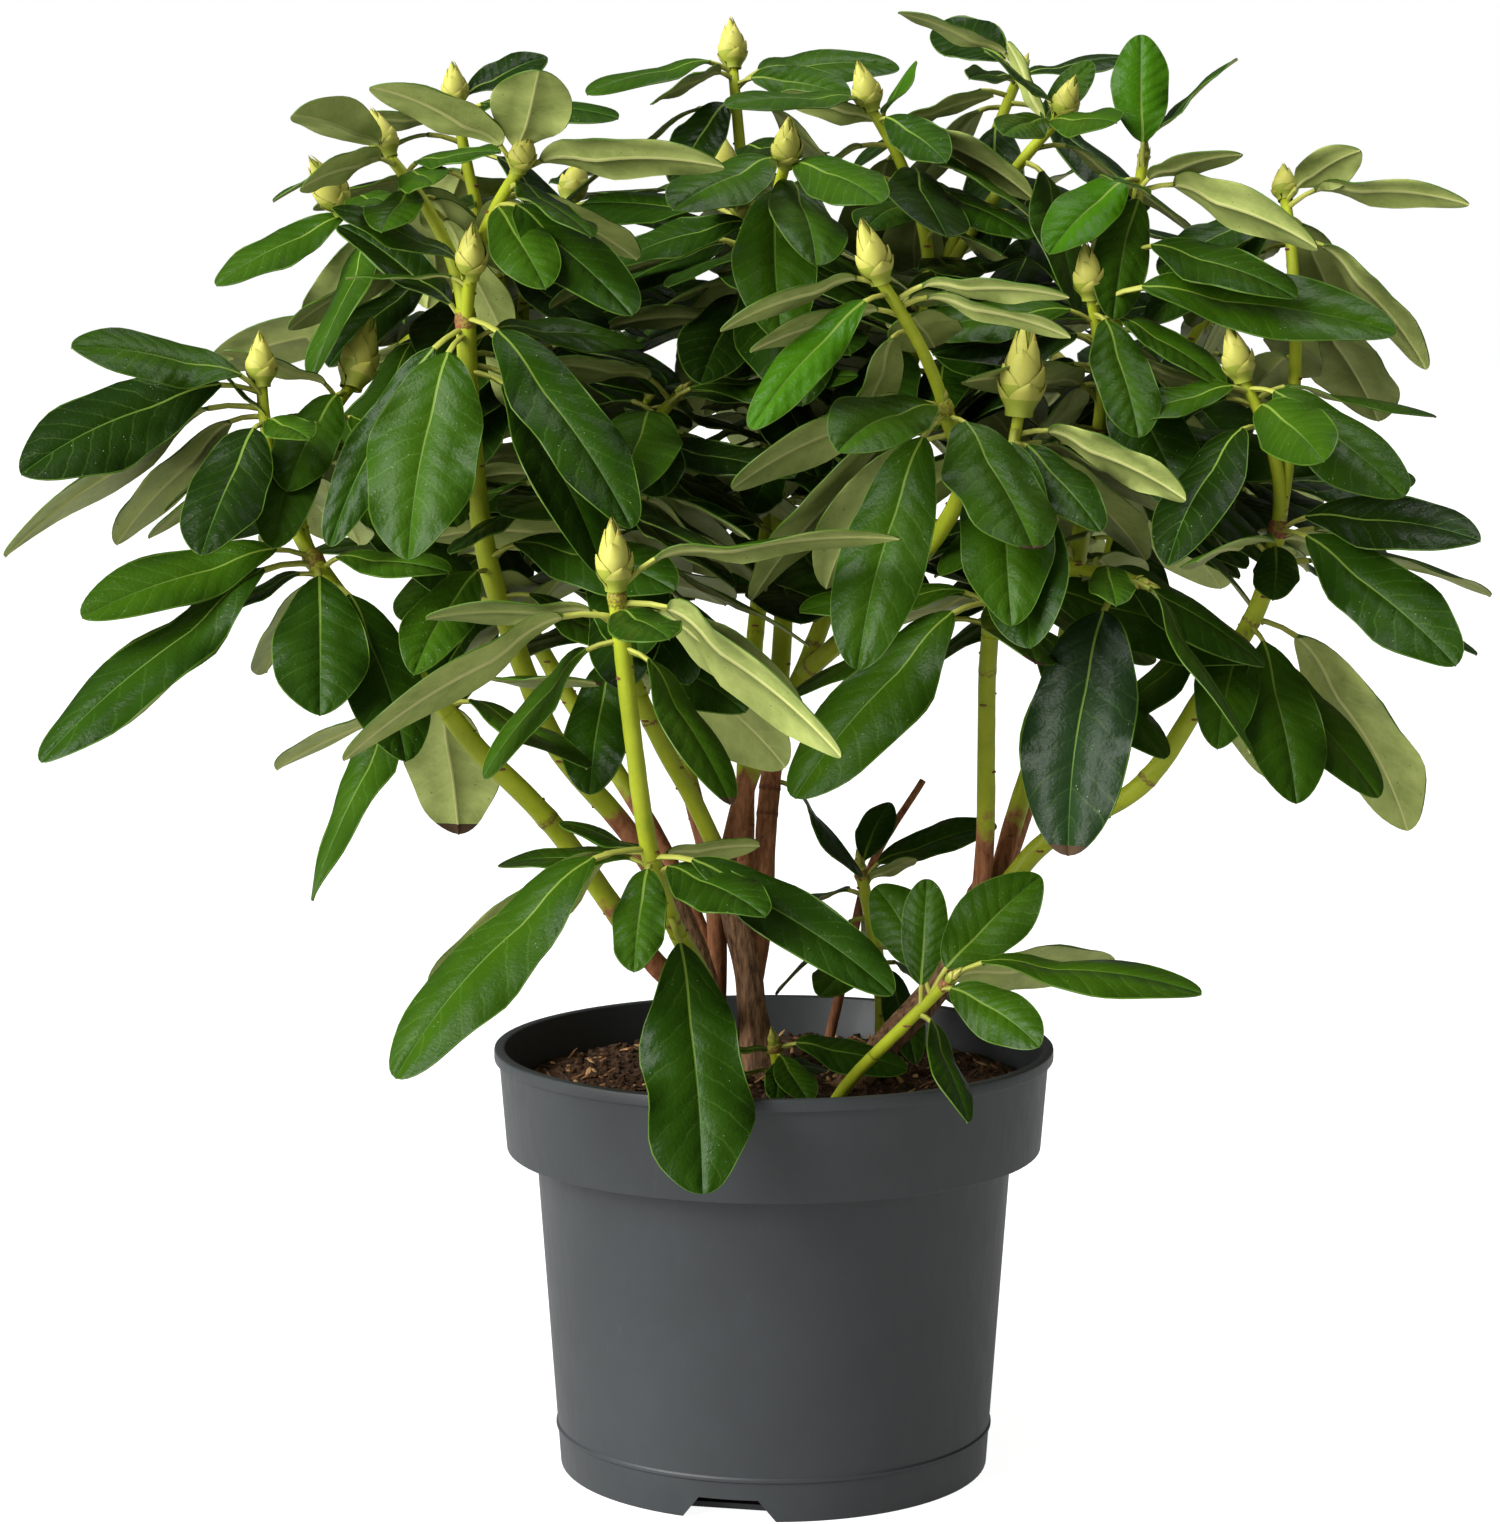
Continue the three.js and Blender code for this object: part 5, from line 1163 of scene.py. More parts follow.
def grow_leaf(shape, leaf):
    """Adds one leaf. The caller sets its green, cup, fold, twist, sweep, wave and unevenness."""
    own_map = shape.loops.layers.uv["leaf"]
    weights = shape.verts.layers.deform.verify()
    before = len(shape.faces)
    corners = bmesh.ops.create_grid(shape, x_segments=COLUMNS, y_segments=ROWS,
                                    size=0.5)["verts"]
    spots = {}
    length = leaf["length"]
    widest = leaf["half_width"] * length
    for corner in corners:
        column, row = round((corner.co.x + 0.5) * COLUMNS), round((corner.co.y + 0.5) * ROWS)
        along = ALONG[row]
        point, run, side, face = leaf_line(leaf, along)
        blade = max(0, (along - STALK_END) / (1 - STALK_END))
        turn = leaf["twist"] * (blade - 0.5) * min(1, 4 * blade)
        twist = Matrix.Rotation(math.radians(turn), 3, run)
        side, face = twist @ side, twist @ face
        across = offsets_across(leaf, along)[column]
        bulge = math.sin(math.tau * leaf["waves"] * along + (2 if column < RIB_LINE else 0))
        across *= 1 + leaf["uneven"] * bulge * min(1, 3 * blade)
        share = across / widest
        half = half_width_at(leaf, along)
        cupped = leaf["cup"] * share * share + leaf["fold"] * abs(share)
        height = (cupped * widest - RIB_SUNK * (column == RIB_LINE)) * min(1, 3 * blade)
        ripple = math.sin(math.tau * leaf["waves"] * along + leaf["phase"] * column)
        height += leaf["wave"] * ripple * (across / half) ** 2 * math.sin(math.pi * blade)
        if along <= STALK_END:
            height += 0.5 * half * (1 - (across / half) ** 2)
        height += STALK_LIFT * length * math.sin(math.pi * min(along / LIFT_END, 1))
        sideways = across + leaf["sweep"] * length * math.sin(math.pi * along)
        corner.co = point - side * sideways + face * height
        if along <= STALK_END:
            weight = 1 - 0.25 * along / STALK_END
        elif column == RIB_LINE:
            weight = RIB_THICKNESS * (1 - 0.6 * blade)
        else:
            weight = BLADE_THICKNESS
        corner[weights][0] = weight
        spots[corner] = (column, row, 0.5 + 0.5 * across / half)
    shape.faces.ensure_lookup_table()
    for face in shape.faces[before:]:
        columns = [spots[corner][0] for corner in face.verts]
        rows = [spots[corner][1] for corner in face.verts]
        if ALONG[max(rows)] <= STALK_END + 0.01:
            face.material_index = STALK_SLOT
        elif ALONG[min(rows)] >= leaf["withered"]:
            face.material_index = WITHERED_SLOT
        elif RIB_LINE - 1 <= min(columns) and max(columns) <= RIB_LINE + 1:
            face.material_index = MIDRIB_SLOT
        elif min(columns) == 0 or max(columns) == COLUMNS:
            face.material_index = MARGIN_SLOT
        else:
            face.material_index = leaf["green"]
        face.smooth = True
        for loop in face.loops:
            column, row, across = spots[loop.vert]
            loop[own_map].uv = (across, ALONG[row])
            loop.edge.smooth = not loop.edge.is_boundary or ALONG[max(rows)] <= STALK_END


# %% [markdown]
# ## Which leaves grow
# The solid masses skip or turn a leaf that would touch its neighbours. The same rule is written
# again here, so a leaf has at most nine places to be. The right one is where the mass has a
# corner at the leaf's very tip, and a leaf that has none wasn't grown.

# %% Helper: the leaves of a whorl
WHORL_SPAN = 20
FORK_STEP = 0.07
TWIG_TIP_RADIUS = 2.3
TIP_NEAR = 0.15               # millimetres between a leaf's tip and the mass's corner
LEAF_TURNS = ((0, 0), (12, 4), (-12, 4), (4, -10), (22, -6), (-22, -6), (34, 10), (-34, 10),
              (0, 18))


def wanted_leaf(number, whorl, whorl_number, i):
    """The leaf as the plan or the golden angle puts it, before it makes room for others."""
    twig, end = whorl["twig"], whorl["end"]
    below = (3 + WHORL_SPAN * i / max(whorl["leaves"], 6)) / length_of(twig)
    base = twig(max(end - below, 0.02))
    own = whorl.get("own", [])
    if i < len(own):
        heading, pitch, long, lean = own[i][:4]
        half_width = own[i][4] if len(own[i]) > 4 else LEAF_HALF_WIDTH
        towards = -1 if math.cos(math.radians(heading)) < 0 else 1
        return dict(base=base, heading=heading, pitch=pitch, length=long, roll=lean * towards,
                    half_width=half_width, arch=LEAF_ARCH)
    roll = [chance(number, whorl_number, i, use) for use in range(7)]
    share = i / (whorl["leaves"] - 1)
    return dict(base=base, heading=whorl["turn"] + GOLDEN_ANGLE * i + 24 * (roll[1] - 0.5),
                pitch=12 - (12 + whorl.get("droop", 44)) * share + 16 * (roll[2] - 0.5),
                length=whorl["long"] * (0.82 + 0.18 * share + 0.14 * roll[3]),
                roll=70 * (roll[4] - 0.5), half_width=LEAF_HALF_WIDTH * (0.92 + 0.2 * roll[5]),
                arch=LEAF_ARCH * (0.7 + 0.7 * roll[6]))


def corners_of(node):
    """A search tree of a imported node's corners, in millimetres."""
    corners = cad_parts[node].data.vertices
    tree = kdtree.KDTree(len(corners))
    for corner in corners:
        tree.insert(corner.co / MM, corner.index)
    tree.balance()
    return tree


def settled_leaf(leaf, tree):
    """The turn that the leaf took in the solid mass, or None where it wasn't grown."""
    for turn, tilt in LEAF_TURNS:
        turned = dict(leaf, heading=leaf["heading"] + turn, pitch=leaf["pitch"] + tilt)
        tip = leaf_line(turned, 1)[0]
        if tree.find(tip)[2] < TIP_NEAR:
            return turned
    return None


# %% [markdown]
# ## A flower bud
# A bud is a spindle wrapped in overlapping scales. Each scale is a small grid laid on the bud's
# round, wide at its foot and pointed at its tip, and a little proud of the scales above it. The
# scales climb by the golden angle, as the leaves do.

# %% Helper: grow a bud
BUD_FINISHES = [bud_base, bud_scale, bud_point]
BASE_SLOT, SCALE_SLOT, POINT_SLOT = range(3)
SCALE_STEPS = 6
BUD_RADIUS, BUD_SWELL = 3.7, 0.1    # half a bud's width, and more for each mm of its length


def bud_radius(height, length, slim):
    """Radius at a height from 0 to 1: a narrow neck, a full belly and a drawn-out point."""
    height = min(max(height, 0), 1)
    belly = math.sin(math.pi * height ** 0.75) ** 0.85 * (1 - 0.42 * height * height)
    return slim * length * max(belly, 0.42 * (1 - height) ** 2)


def grow_bud(shape, foot, run, length, slim, rows, seed):
    """Adds a bud: a plain core, and rows of three scales that overlap upwards round it."""
    turned = UP.rotation_difference(run)
    core = bmesh.ops.create_uvsphere(shape, u_segments=10, v_segments=8, radius=0.5)["verts"]
    for corner in core:
        height = corner.co.z + 0.5
        flat = Vector((corner.co.x, corner.co.y, 0))
        out = flat.normalized() if flat.length > 1e-4 else flat
        spot = out * 0.9 * bud_radius(height, length, slim) + UP * height * length
        spot.rotate(turned)
        corner.co = foot + spot
    shape.faces.ensure_lookup_table()
    for row in range(rows):
        share = row / (rows - 1)
        low, high = -0.04 + 0.52 * share, 0.34 + 0.7 * share
        for k in range(3):
            heading = math.radians(GOLDEN_ANGLE * (3 * row + k) + 40 * chance(seed, row, k, 1))
            before = len(shape.faces)
            grid = bmesh.ops.create_grid(shape, x_segments=SCALE_STEPS, y_segments=SCALE_STEPS,
                                         size=0.5)["verts"]
            for corner in grid:
                up = corner.co.y + 0.5
                narrow = 1 - up ** 2.4
                angle = heading + corner.co.x * 2.5 * narrow
                height = low + (high - low) * up
                edge = abs(2 * corner.co.x)
                proud = 0.3 + 1.5 * (1 - share) + 0.9 * up * (1 - 0.4 * share)
                proud *= length / 28
                ridge = 0.4 * (1 - edge) * length / 28
                radius = bud_radius(height, length, slim) * 0.86 + proud + ridge
                if height > 0.98:
                    radius = 0.5 * proud
                spot = Vector((math.cos(angle) * radius, math.sin(angle) * radius,
                               height * length))
                spot.rotate(turned)
                corner.co = foot + spot
            shape.faces.ensure_lookup_table()
            for n, face in enumerate(shape.faces[before:]):
                up = n // SCALE_STEPS
                middle = 0 < n % SCALE_STEPS < SCALE_STEPS - 1
                dry = up == SCALE_STEPS - 1 and middle and (row >= rows - 2 or k == 0)
                at_foot = row < 2 and up < SCALE_STEPS // 2
                skin = BASE_SLOT if at_foot else SCALE_SLOT
                face.material_index = POINT_SLOT if dry else skin
    for face in shape.faces:
        face.smooth = True


# %% [markdown]
# ## The masses of foliage
# Now each mass is grown on from its bough: the stem, its twigs, the swollen joints where twigs
# fork, the buds, and the leaves. A mass has one mesh for its wood and one for its leaves, and both
# stand for the one solid mass of the frame. The flower buds of the whole plant are one more mesh,
# and its small shoot buds another.

# %% Helpers: joints and how a leaf is shaped
def add_joint(shape, middle, run, radius, seed):
    """A swollen, scarred knuckle where twigs leave a stem."""
    age_layer = shape.verts.layers.float["age"]
    scar_layer = shape.verts.layers.float["scar"]
    before = len(shape.faces)
    made = bmesh.ops.create_icosphere(shape, subdivisions=2, radius=1)["verts"]
    turned = UP.rotation_difference(run)
    for corner in made:
        bumpy = 1 + 0.22 * noise.noise(corner.co * 2.2 + Vector((seed, 0, 0)))
        spot = Vector((corner.co.x, corner.co.y, 1.3 * corner.co.z)) * radius * bumpy
        spot.rotate(turned)
        corner.co = middle + spot
        corner[age_layer] = 0.35
        corner[scar_layer] = 0.62
    shape.faces.ensure_lookup_table()
    for face in shape.faces[before:]:
        face.smooth = True


SPRAY_GREENS = (DEEP, MID, DEEP, DARK_AND_SHADED, MID)
UNHARMED = 2                  # a place past the tip, so that no part of the leaf is withered
WITHERED_FROM = 0.96          # place along the leaf where a withered tip begins
WITHERED_LUCK = 0.97          # a leaf with more luck than this has one
# Half of the leaves behind this y get the dark green, as painted shade at the back of the crown.
SHADED = 60                   # behind this y, half of the leaves are dark

# Leaves that differ from their neighbours, by mass, whorl and leaf.
ODD_LEAVES = {
    ("front", 0, 0): dict(green=DEEP, wave=4, waves=2.6, phase=0.2, twist=6, uneven=0.11,
                          forward=1.35, blunt=0.45),
    ("front", 1, 0): dict(green=MID, sweep=0.03),
    ("left", 0, 0): dict(twist=60, wave=1.5),
    ("left", 0, 1): dict(withered=0.93, uneven=0.08),
    ("left", 1, 1): dict(wave=2.2, waves=2, sweep=-0.02),
    ("left_centre", 2, 0): dict(cup=0.3, fold=0.2),
    ("left_centre", 1, 3): dict(green=DARK_AND_SHADED, cup=0.2),
    ("centre_front", 0, 2): dict(green=MID, withered=0.975, blunt=0.44, cup=-0.2, fold=0.02),
    ("centre_front", 1, 1): dict(green=BRIGHT),
    ("centre_right", 1, 3): dict(green=BRIGHT),
    # This hanging leaf has dust specks, and its grey green paints a sheen.
    ("right_front", 2, 0): dict(green=DUST_AND_SHEEN, wave=1.6, waves=2),
    ("right_front", 1, 1): dict(green=MID),
    # The dark green of these right-hand leaves is painted shade, on the side away from the lights.
    ("right", 1, 1): dict(green=DARK_AND_SHADED),
    ("right", 2, 3): dict(green=DARK_AND_SHADED),
    ("right", 2, 6): dict(green=DARK_AND_SHADED),
    ("right", 2, 7): dict(green=DARK_AND_SHADED),
    ("left_centre", 1, 0): dict(green=DEEP, forward=1.0),
    ("right_centre", 2, 0): dict(green=BRIGHT),
    ("right_centre", 2, 2): dict(green=BRIGHT),
    ("right_front", 1, 0): dict(cup=-0.35, fold=0.05),
    ("base", 0, 1): dict(green=MID, wave=0.2),
}


def shaped(leaf, number, whorl_number, i):
    """The leaf with its green and its small irregularities."""
    luck = [chance(number, whorl_number, i, use) for use in range(20, 30)]
    spray = SPRAY_GREENS[int(chance(number, whorl_number, 0, 30) * len(SPRAY_GREENS))]
    behind = leaf["base"].y > SHADED
    green = spray if luck[0] < 0.7 else (MID if luck[0] < 0.9 else DEEP)
    # Painted shade: half of the leaves at the back get the dark green.
    if behind and luck[1] < 0.5:
        green = DARK_AND_SHADED
    usual = dict(leaf, green=green, cup=-0.1 - 0.22 * luck[2], fold=0.04 + 0.16 * luck[3],
                 twist=30 * (luck[4] - 0.5), sweep=0.06 * (luck[5] - 0.5),
                 wave=0.3 + 0.9 * luck[6], waves=1.5 + 1.5 * luck[7], phase=0.4 + 0.5 * luck[8],
                 forward=1 + 0.2 * chance(number, whorl_number, i, 31),
                 blunt=0.46 + 0.14 * chance(number, whorl_number, i, 32),
                 uneven=0.01 + 0.05 * chance(number, whorl_number, i, 33),
                 withered=WITHERED_FROM if luck[9] > WITHERED_LUCK else UNHARMED)
    return dict(usual, **ODD_LEAVES.get((LIMBS[number]["name"], whorl_number, i), {}))


# %% Settle the leaves that the solid masses have
leaf_count = skipped = 0
for number, limb in enumerate(LIMBS):
    limb["curve"] = curve = spline_through(limb["path"])
    last = len(limb["path"]) - 1
    limb["grown"], limb["twigs"] = [], []
    tree = corners_of(f"{limb['name']}_foliage")
    for whorl_number, whorl in enumerate(limb["whorls"]):
        start = whorl.get("on", last - FORK_STEP * whorl_number) / last
        whorl["twig"], whorl["end"] = curve, start
        if "tip" in whorl:
            root, tip = curve(start), Vector(whorl["tip"])
            bend = root + direction(curve, start) * 0.45 * (tip - root).length
            foot = (0.86 - 0.03 * whorl_number) * taper(limb)(start)
            whorl["twig"], whorl["end"] = bent_once(root, bend, tip), 1
            limb["twigs"].append((whorl["twig"], foot, TWIG_TIP_RADIUS))
        for i in range(whorl["leaves"]):
            leaf = settled_leaf(wanted_leaf(number, whorl, whorl_number, i), tree)
            if leaf is None:
                skipped += 1
                continue
            limb["grown"].append(shaped(leaf, number, whorl_number, i))
            leaf_count += 1
print("leaves of the solid masses:", leaf_count, "skipped:", skipped)

# %% [markdown]
# ## Finer twigs
# Inside the crown a rhododendron keeps last year's leaves: whorls further down its twigs, and
# short side shoots with smaller leaves. They follow the same rule as the others and fill the room
# that is left. A coarse grid remembers points along the wood and over the leaves: a new leaf tries
# its turns and grows at the first one where all the points of its blade keep clear of them. The
# points are a few millimetres apart, so leaves may still brush each other. None grows
# on the low stems, on the front ones, where the young wood is bare below each whorl, or outside
# the crown's core, so the sky between the outer whorls stays open.

# %% Helpers: room between the leaves
ROOM = 3                      # millimetres between a new leaf's points and all others
CORE_MIDDLE, CORE_RADII = Vector((15, 40, 450)), Vector((245, 220, 160))
LOWEST_BASE = 372             # no finer twig leaves a stem below this height
BARE_FRONT = -30              # nor in front of this y
taken = {}


def cell_of(point):
    return math.floor(point.x / ROOM), math.floor(point.y / ROOM), math.floor(point.z / ROOM)


def take_room(points):
    for point in points:
        taken.setdefault(cell_of(point), []).append(point)


def has_room(points):
    for point in points:
        x, y, z = cell_of(point)
        for i in (x - 1, x, x + 1):
            for j in (y - 1, y, y + 1):
                for k in (z - 1, z, z + 1):
                    for other in taken.get((i, j, k), ()):
                        if (other - point).length_squared < ROOM * ROOM:
                            return False
    return True


def points_of(leaf, first):
    """Points spread over a leaf's blade, from a place along it to its tip."""
    points = []
    steps = math.ceil((1 - first) * leaf["length"] / 5)
    for k in range(steps + 1):
        along = first + (1 - first) * k / steps
        point, run, side, face = leaf_line(leaf, along)
        half = half_width_at(leaf, along)
        lift = math.sin(math.pi * min(along / LIFT_END, 1))
        middle = point + face * STALK_LIFT * leaf["length"] * lift
        across = max(1, math.ceil(half / 3))
        points += [middle + side * half * n / across for n in range(-across, across + 1)]
    return points


def in_core(point):
    away = point - CORE_MIDDLE
    return sum((away[axis] / CORE_RADII[axis]) ** 2 for axis in range(3)) < 1


# %% Grow whorls of last year and side shoots
OLD_WHORL_PLACES = (0.72, 0.45, 0.2)
SHOOT_SPACING = 16            # millimetres of stem between two side shoots
SHOOT_RADII = (1.9, 1.5)
SHOOT_BEND, SHOOT_REACH, SHOOT_RISE = 22, 30, 22
TAKEN_FROM = 0.15             # place along a leaf of the masses from which it takes room
BLADE_START = 0.26            # the same for a new leaf
INNER_SEED = 60
OLD_LEAVES, OLD_LENGTH = 8, 78              # of a whorl of last year
STEM_LEAVES, STEM_LENGTH = 4, 84            # that sit on the stem itself
SHOOT_LEAVES, SHOOT_LENGTH = 6, 60          # of a side shoot

for limb in LIMBS:
    for leaf in limb["grown"]:
        take_room(points_of(leaf, TAKEN_FROM))
    for curve in [limb["curve"]] + [twig for twig, foot, tip in limb["twigs"]]:
        take_room([curve(k / 120) for k in range(121)])


def grow_where_free(limb, number, whorl_number, twig, place, count, long, turn):
    """Adds the leaves of one inner whorl that find room, and says how many did."""
    found = 0
    for i in range(count):
        luck = [chance(number + INNER_SEED, whorl_number, i, use) for use in range(6)]
        base = twig(max(place - 0.03 * i, 0.05))
        leaf = dict(base=base, heading=turn + GOLDEN_ANGLE * i, pitch=4 - 34 * luck[0],
                    length=long * (0.8 + 0.35 * luck[1]), roll=60 * (luck[2] - 0.5),
                    half_width=LEAF_HALF_WIDTH * (0.95 + 0.25 * luck[3]),
                    arch=LEAF_ARCH * (0.7 + 0.7 * luck[4]))
        for turned, tilt in LEAF_TURNS:
            tried = dict(leaf, heading=leaf["heading"] + turned, pitch=leaf["pitch"] + tilt)
            points = points_of(tried, BLADE_START)
            if all(in_core(point) for point in points) and has_room(points):
                take_room(points)
                # Last year's leaves are darker, and inside the crown the dark green also paints
                # shade.
                limb["grown"].append(dict(shaped(tried, number, whorl_number + 10, i),
                                          green=DARK_AND_SHADED if luck[5] < 0.45 else DEEP))
                found += 1
                break
    return found


inner_count = shoot_count = loose_count = 0
for number, limb in enumerate(LIMBS):
    for n, (twig, foot, tip) in enumerate(list(limb["twigs"])):
        for m, place in enumerate(OLD_WHORL_PLACES):
            if twig(place).z > LOWEST_BASE and twig(place).y > BARE_FRONT:
                turn = 360 * chance(number + INNER_SEED, n, m, 9)
                inner_count += grow_where_free(limb, number, 4 * n + m, twig, place,
                                               OLD_LEAVES, OLD_LENGTH, turn)
    stem = limb["curve"]
    for k in range(int(length_of(stem) / SHOOT_SPACING)):
        place = 1 - (k + 0.5) * SHOOT_SPACING / length_of(stem)
        if stem(place).z < LOWEST_BASE or stem(place).y < BARE_FRONT:
            continue
        inner_count += grow_where_free(limb, number, 40 + k, stem, place,
                                       STEM_LEAVES, STEM_LENGTH, 100 * k)
        heading = math.radians(GOLDEN_ANGLE * k + 70 * number)
        out = Vector((math.cos(heading), math.sin(heading), 0.3))
        root = stem(place)
        side_twig = bent_once(root, root + out * SHOOT_BEND,
                              root + out * SHOOT_REACH + UP * SHOOT_RISE)
        if not has_room([side_twig(0.75), side_twig(1)]):
            continue
        found = grow_where_free(limb, number, 20 + k, side_twig, 0.97,
                                SHOOT_LEAVES, SHOOT_LENGTH, 60 * k)
        inner_count += found
        # A shoot that found room for one leaf only gets no twig, so that leaf stands loose. This
        # is a fault that is still to be mended.
        if found == 1:
            loose_count += 1
        if found > 1:
            limb["twigs"].append((side_twig, *SHOOT_RADII))
            take_room([side_twig(t / 8) for t in range(9)])
            shoot_count += 1
print("leaves inside the crown:", inner_count, "side shoots:", shoot_count,
      "leaves without a twig:", loose_count)

# %% Grow the masses
THINNEST_TWIG = 2             # millimetres at its foot; a side shoot is thinner
BUD_ROWS, SHOOT_BUD_ROWS = 5, 3             # rows of three scales
SHOOT_BUD_LENGTH, SIDE_BUD_LENGTH = 11, 9
SHOOT_BUD_SLIM = 0.2          # about half its width, of its length
TWIG_JOINTS = (0.12, 0.93)    # places of its swollen rings
TOP_JOINT = 0.985             # place of the knuckle on a stem
bud_shape, shoot_bud_shape = bmesh.new(), bmesh.new()
for number, limb in enumerate(LIMBS):
    curve = limb["curve"]
    last = len(limb["path"]) - 1
    handover = limb["bare"] / last
    mass = f"{limb['name']}_foliage"
    twigs, leaves = start_wood(), bmesh.new()
    leaves.loops.layers.uv.new("leaf")
    age = age_along(limb)
    joints = [whorl["on"] / last - 0.03 for whorl in limb["whorls"] if "on" in whorl]
    add_limb(twigs, curve, taper(limb), handover, 1, 12, 12 * math.ceil(last - limb["bare"]), age,
             joints=joints)
    add_scars(twigs, curve, taper(limb), handover, 0.95, age, number + 20)
    add_joint(twigs, curve(TOP_JOINT), direction(curve, TOP_JOINT), 1.2 * limb["tip"], number)
    for n, (twig, foot, tip) in enumerate(limb["twigs"]):
        thick = even_taper(foot, tip)
        sturdy = foot > THINNEST_TWIG
        sides, rings = (10, 20) if sturdy else (7, 8)
        add_limb(twigs, twig, thick, 0, 1, sides, rings, same_age(0), joints=TWIG_JOINTS)
        if sturdy:
            add_scars(twigs, twig, thick, 0.15, 0.9, same_age(0), 40 + 5 * number + n)
        else:
            run = direction(twig, 1)
            grow_bud(shoot_bud_shape, twig(1) - run, run, SIDE_BUD_LENGTH, SHOOT_BUD_SLIM,
                     SHOOT_BUD_ROWS, number * 7 + n)
    for whorl_number, whorl in enumerate(limb["whorls"]):
        top, run = whorl["twig"](whorl["end"]), direction(whorl["twig"], whorl["end"])
        if "bud" in whorl:
            long = whorl["bud"]
            grow_bud(bud_shape, top, (run + UP).normalized(), long,
                     (BUD_RADIUS + BUD_SWELL * long) / long, BUD_ROWS,
                     number * 7 + whorl_number)
        elif "tip" in whorl or whorl["end"] > 0.99:
            grow_bud(shoot_bud_shape, top - run, run, SHOOT_BUD_LENGTH, SHOOT_BUD_SLIM,
                     SHOOT_BUD_ROWS, number * 7 + whorl_number)
    for leaf in limb["grown"]:
        grow_leaf(leaves, leaf)
    make_piece(f"{limb['name']}_twigs", twigs, [bark], "green_bark", mass)
    foliage = make_piece(f"{limb['name']}_leaves", leaves, leaf_finishes, "foliage", mass)
    foliage.vertex_groups.new(name="thickness")
    thicken = foliage.modifiers.new("thickness", "SOLIDIFY")
    thicken.thickness = THICKEST * MM
    thicken.offset = -1
    thicken.vertex_group = "thickness"
    thicken.material_offset = SLOTS_A_SIDE
    thicken.material_offset_rim = 2 * SLOTS_A_SIDE
make_piece("flower_buds", bud_shape, BUD_FINISHES, "foliage")
make_piece("shoot_buds", shoot_bud_shape, BUD_FINISHES, "foliage")
print("leaves in all:", sum(len(limb["grown"]) for limb in LIMBS))

# %% [markdown]
# ## Studio
# White all round, as in a light tent: the surroundings look white but give only a little of the
# light, so that the inside of the crown stays dark. They are dimmer still where a leaf or the pot
# mirrors them, because a white sheen all over would take the green out of the leaves. A wide, soft
# sun and a large softbox from the left model the plant and leave the pot's right side darker, and
# a small one above lifts the top. The floor is a light table: it looks white, leaves hardly any
# shadow, and gives the undersides of the leaves a little light.

# %% Floor and surroundings
SURROUNDINGS_SEEN, SURROUNDINGS_LIGHT, SURROUNDINGS_MIRRORED = 1.0, 0.22, 0.1
TABLE_SEEN, TABLE_LIGHT = 0.95, 0.35

floor_shape = bmesh.new()
bmesh.ops.create_grid(floor_shape, x_segments=1, y_segments=1, size=30)
floor_mesh = bpy.data.meshes.new("floor")
floor_shape.to_mesh(floor_mesh)
floor_shape.free()
floor = bpy.data.objects.new("floor", floor_mesh)
bpy.context.scene.collection.objects.link(floor)
floor_finish, floor_shader = start_material("light_table", Base_Color=linear("#8c8c8b"),
                                            Roughness=0.9, Emission_Color=(1, 1, 1, 1))
seen = add_node(floor_finish, "ShaderNodeLightPath").outputs["Is Camera Ray"]
glow = add_node(floor_finish, "ShaderNodeMapRange",
                {"Value": seen, "To Min": TABLE_LIGHT, "To Max": TABLE_SEEN})
link(floor_finish, glow.outputs["Result"], floor_shader.inputs["Emission Strength"])
floor_mesh.materials.append(floor_finish)
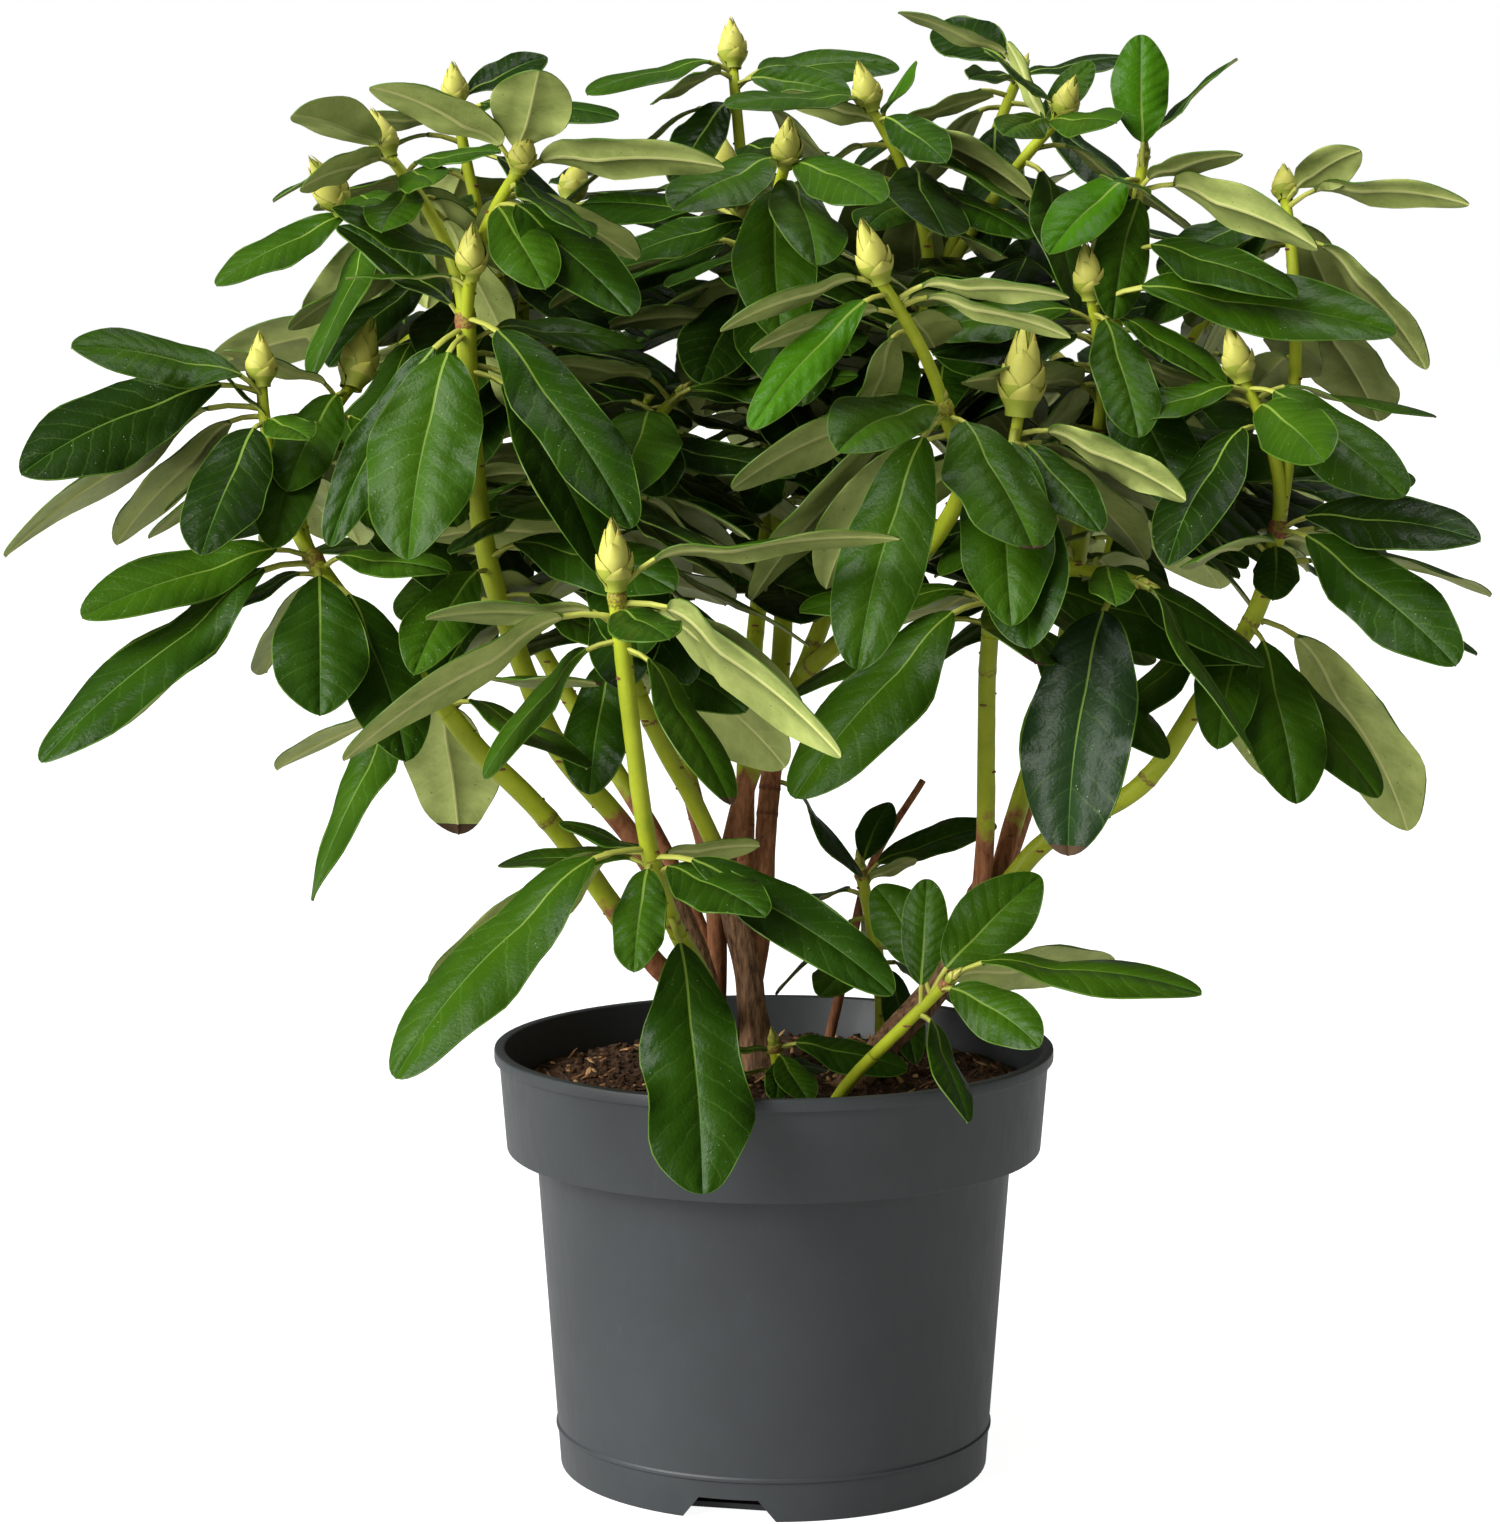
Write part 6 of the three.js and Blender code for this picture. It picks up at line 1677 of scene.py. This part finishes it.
floor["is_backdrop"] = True

world = bpy.data.worlds.new("white_studio")
bpy.context.scene.world = world
world.use_nodes = True
surroundings = world.node_tree.nodes["Background"]
surroundings.inputs["Color"].default_value = (1, 1, 1, 1)
ray = add_node(world, "ShaderNodeLightPath")
unseen = add_node(world, "ShaderNodeMapRange",
                  {"Value": ray.outputs["Is Glossy Ray"], "To Min": SURROUNDINGS_LIGHT,
                   "To Max": SURROUNDINGS_MIRRORED})
strength = add_node(world, "ShaderNodeMapRange",
                    {"Value": ray.outputs["Is Camera Ray"], "To Min": unseen.outputs["Result"],
                     "To Max": SURROUNDINGS_SEEN})
link(world, strength.outputs["Result"], surroundings.inputs["Strength"])
bpy.context.scene.view_settings.view_transform = "Standard"

# %% Lights
SUN_POWER, LEFT_POWER, TOP_POWER = 4.0, 60, 14      # watts, and for the sun watts a square metre


def add_light(kind, name, place, target, power):
    light_data = bpy.data.lights.new(name, kind)
    light_data.energy = power
    light = bpy.data.objects.new(name, light_data)
    light.location = place
    light.rotation_euler = (Vector(target) - Vector(place)).to_track_quat("-Z", "Y").to_euler()
    bpy.context.scene.collection.objects.link(light)
    return light_data


sun = add_light("SUN", "wide_sun", (-1.9, -1.2, 2.3), (0, 0, 0.3), SUN_POWER)
sun.angle = math.radians(36)
left_light = add_light("AREA", "left_softbox", (-1.8, -1.3, 0.9), (0, 0, 0.35), LEFT_POWER)
left_light.shape, left_light.size = "DISK", 1.4
top_light = add_light("AREA", "top_softbox", (0.5, 0.2, 2.1), (0, 0, 0.4), TOP_POWER)
top_light.shape, top_light.size = "DISK", 1.0

# %% [markdown]
# ## Measure and finish
# The box of the dressed plant is measured against the box of its solids, and how far it stands
# proud of them on each side is printed.

# %% Print how far the dressed plant stands proud of its solids
visual_box = [list(corner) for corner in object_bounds()]
for axis in range(3):
    grown = [(cad_box[0][axis] - visual_box[0][axis]) / MM,
             (visual_box[1][axis] - cad_box[1][axis]) / MM]
    print("XYZ"[axis], "proud of the solids by", [round(g, 1) for g in grown], "mm")
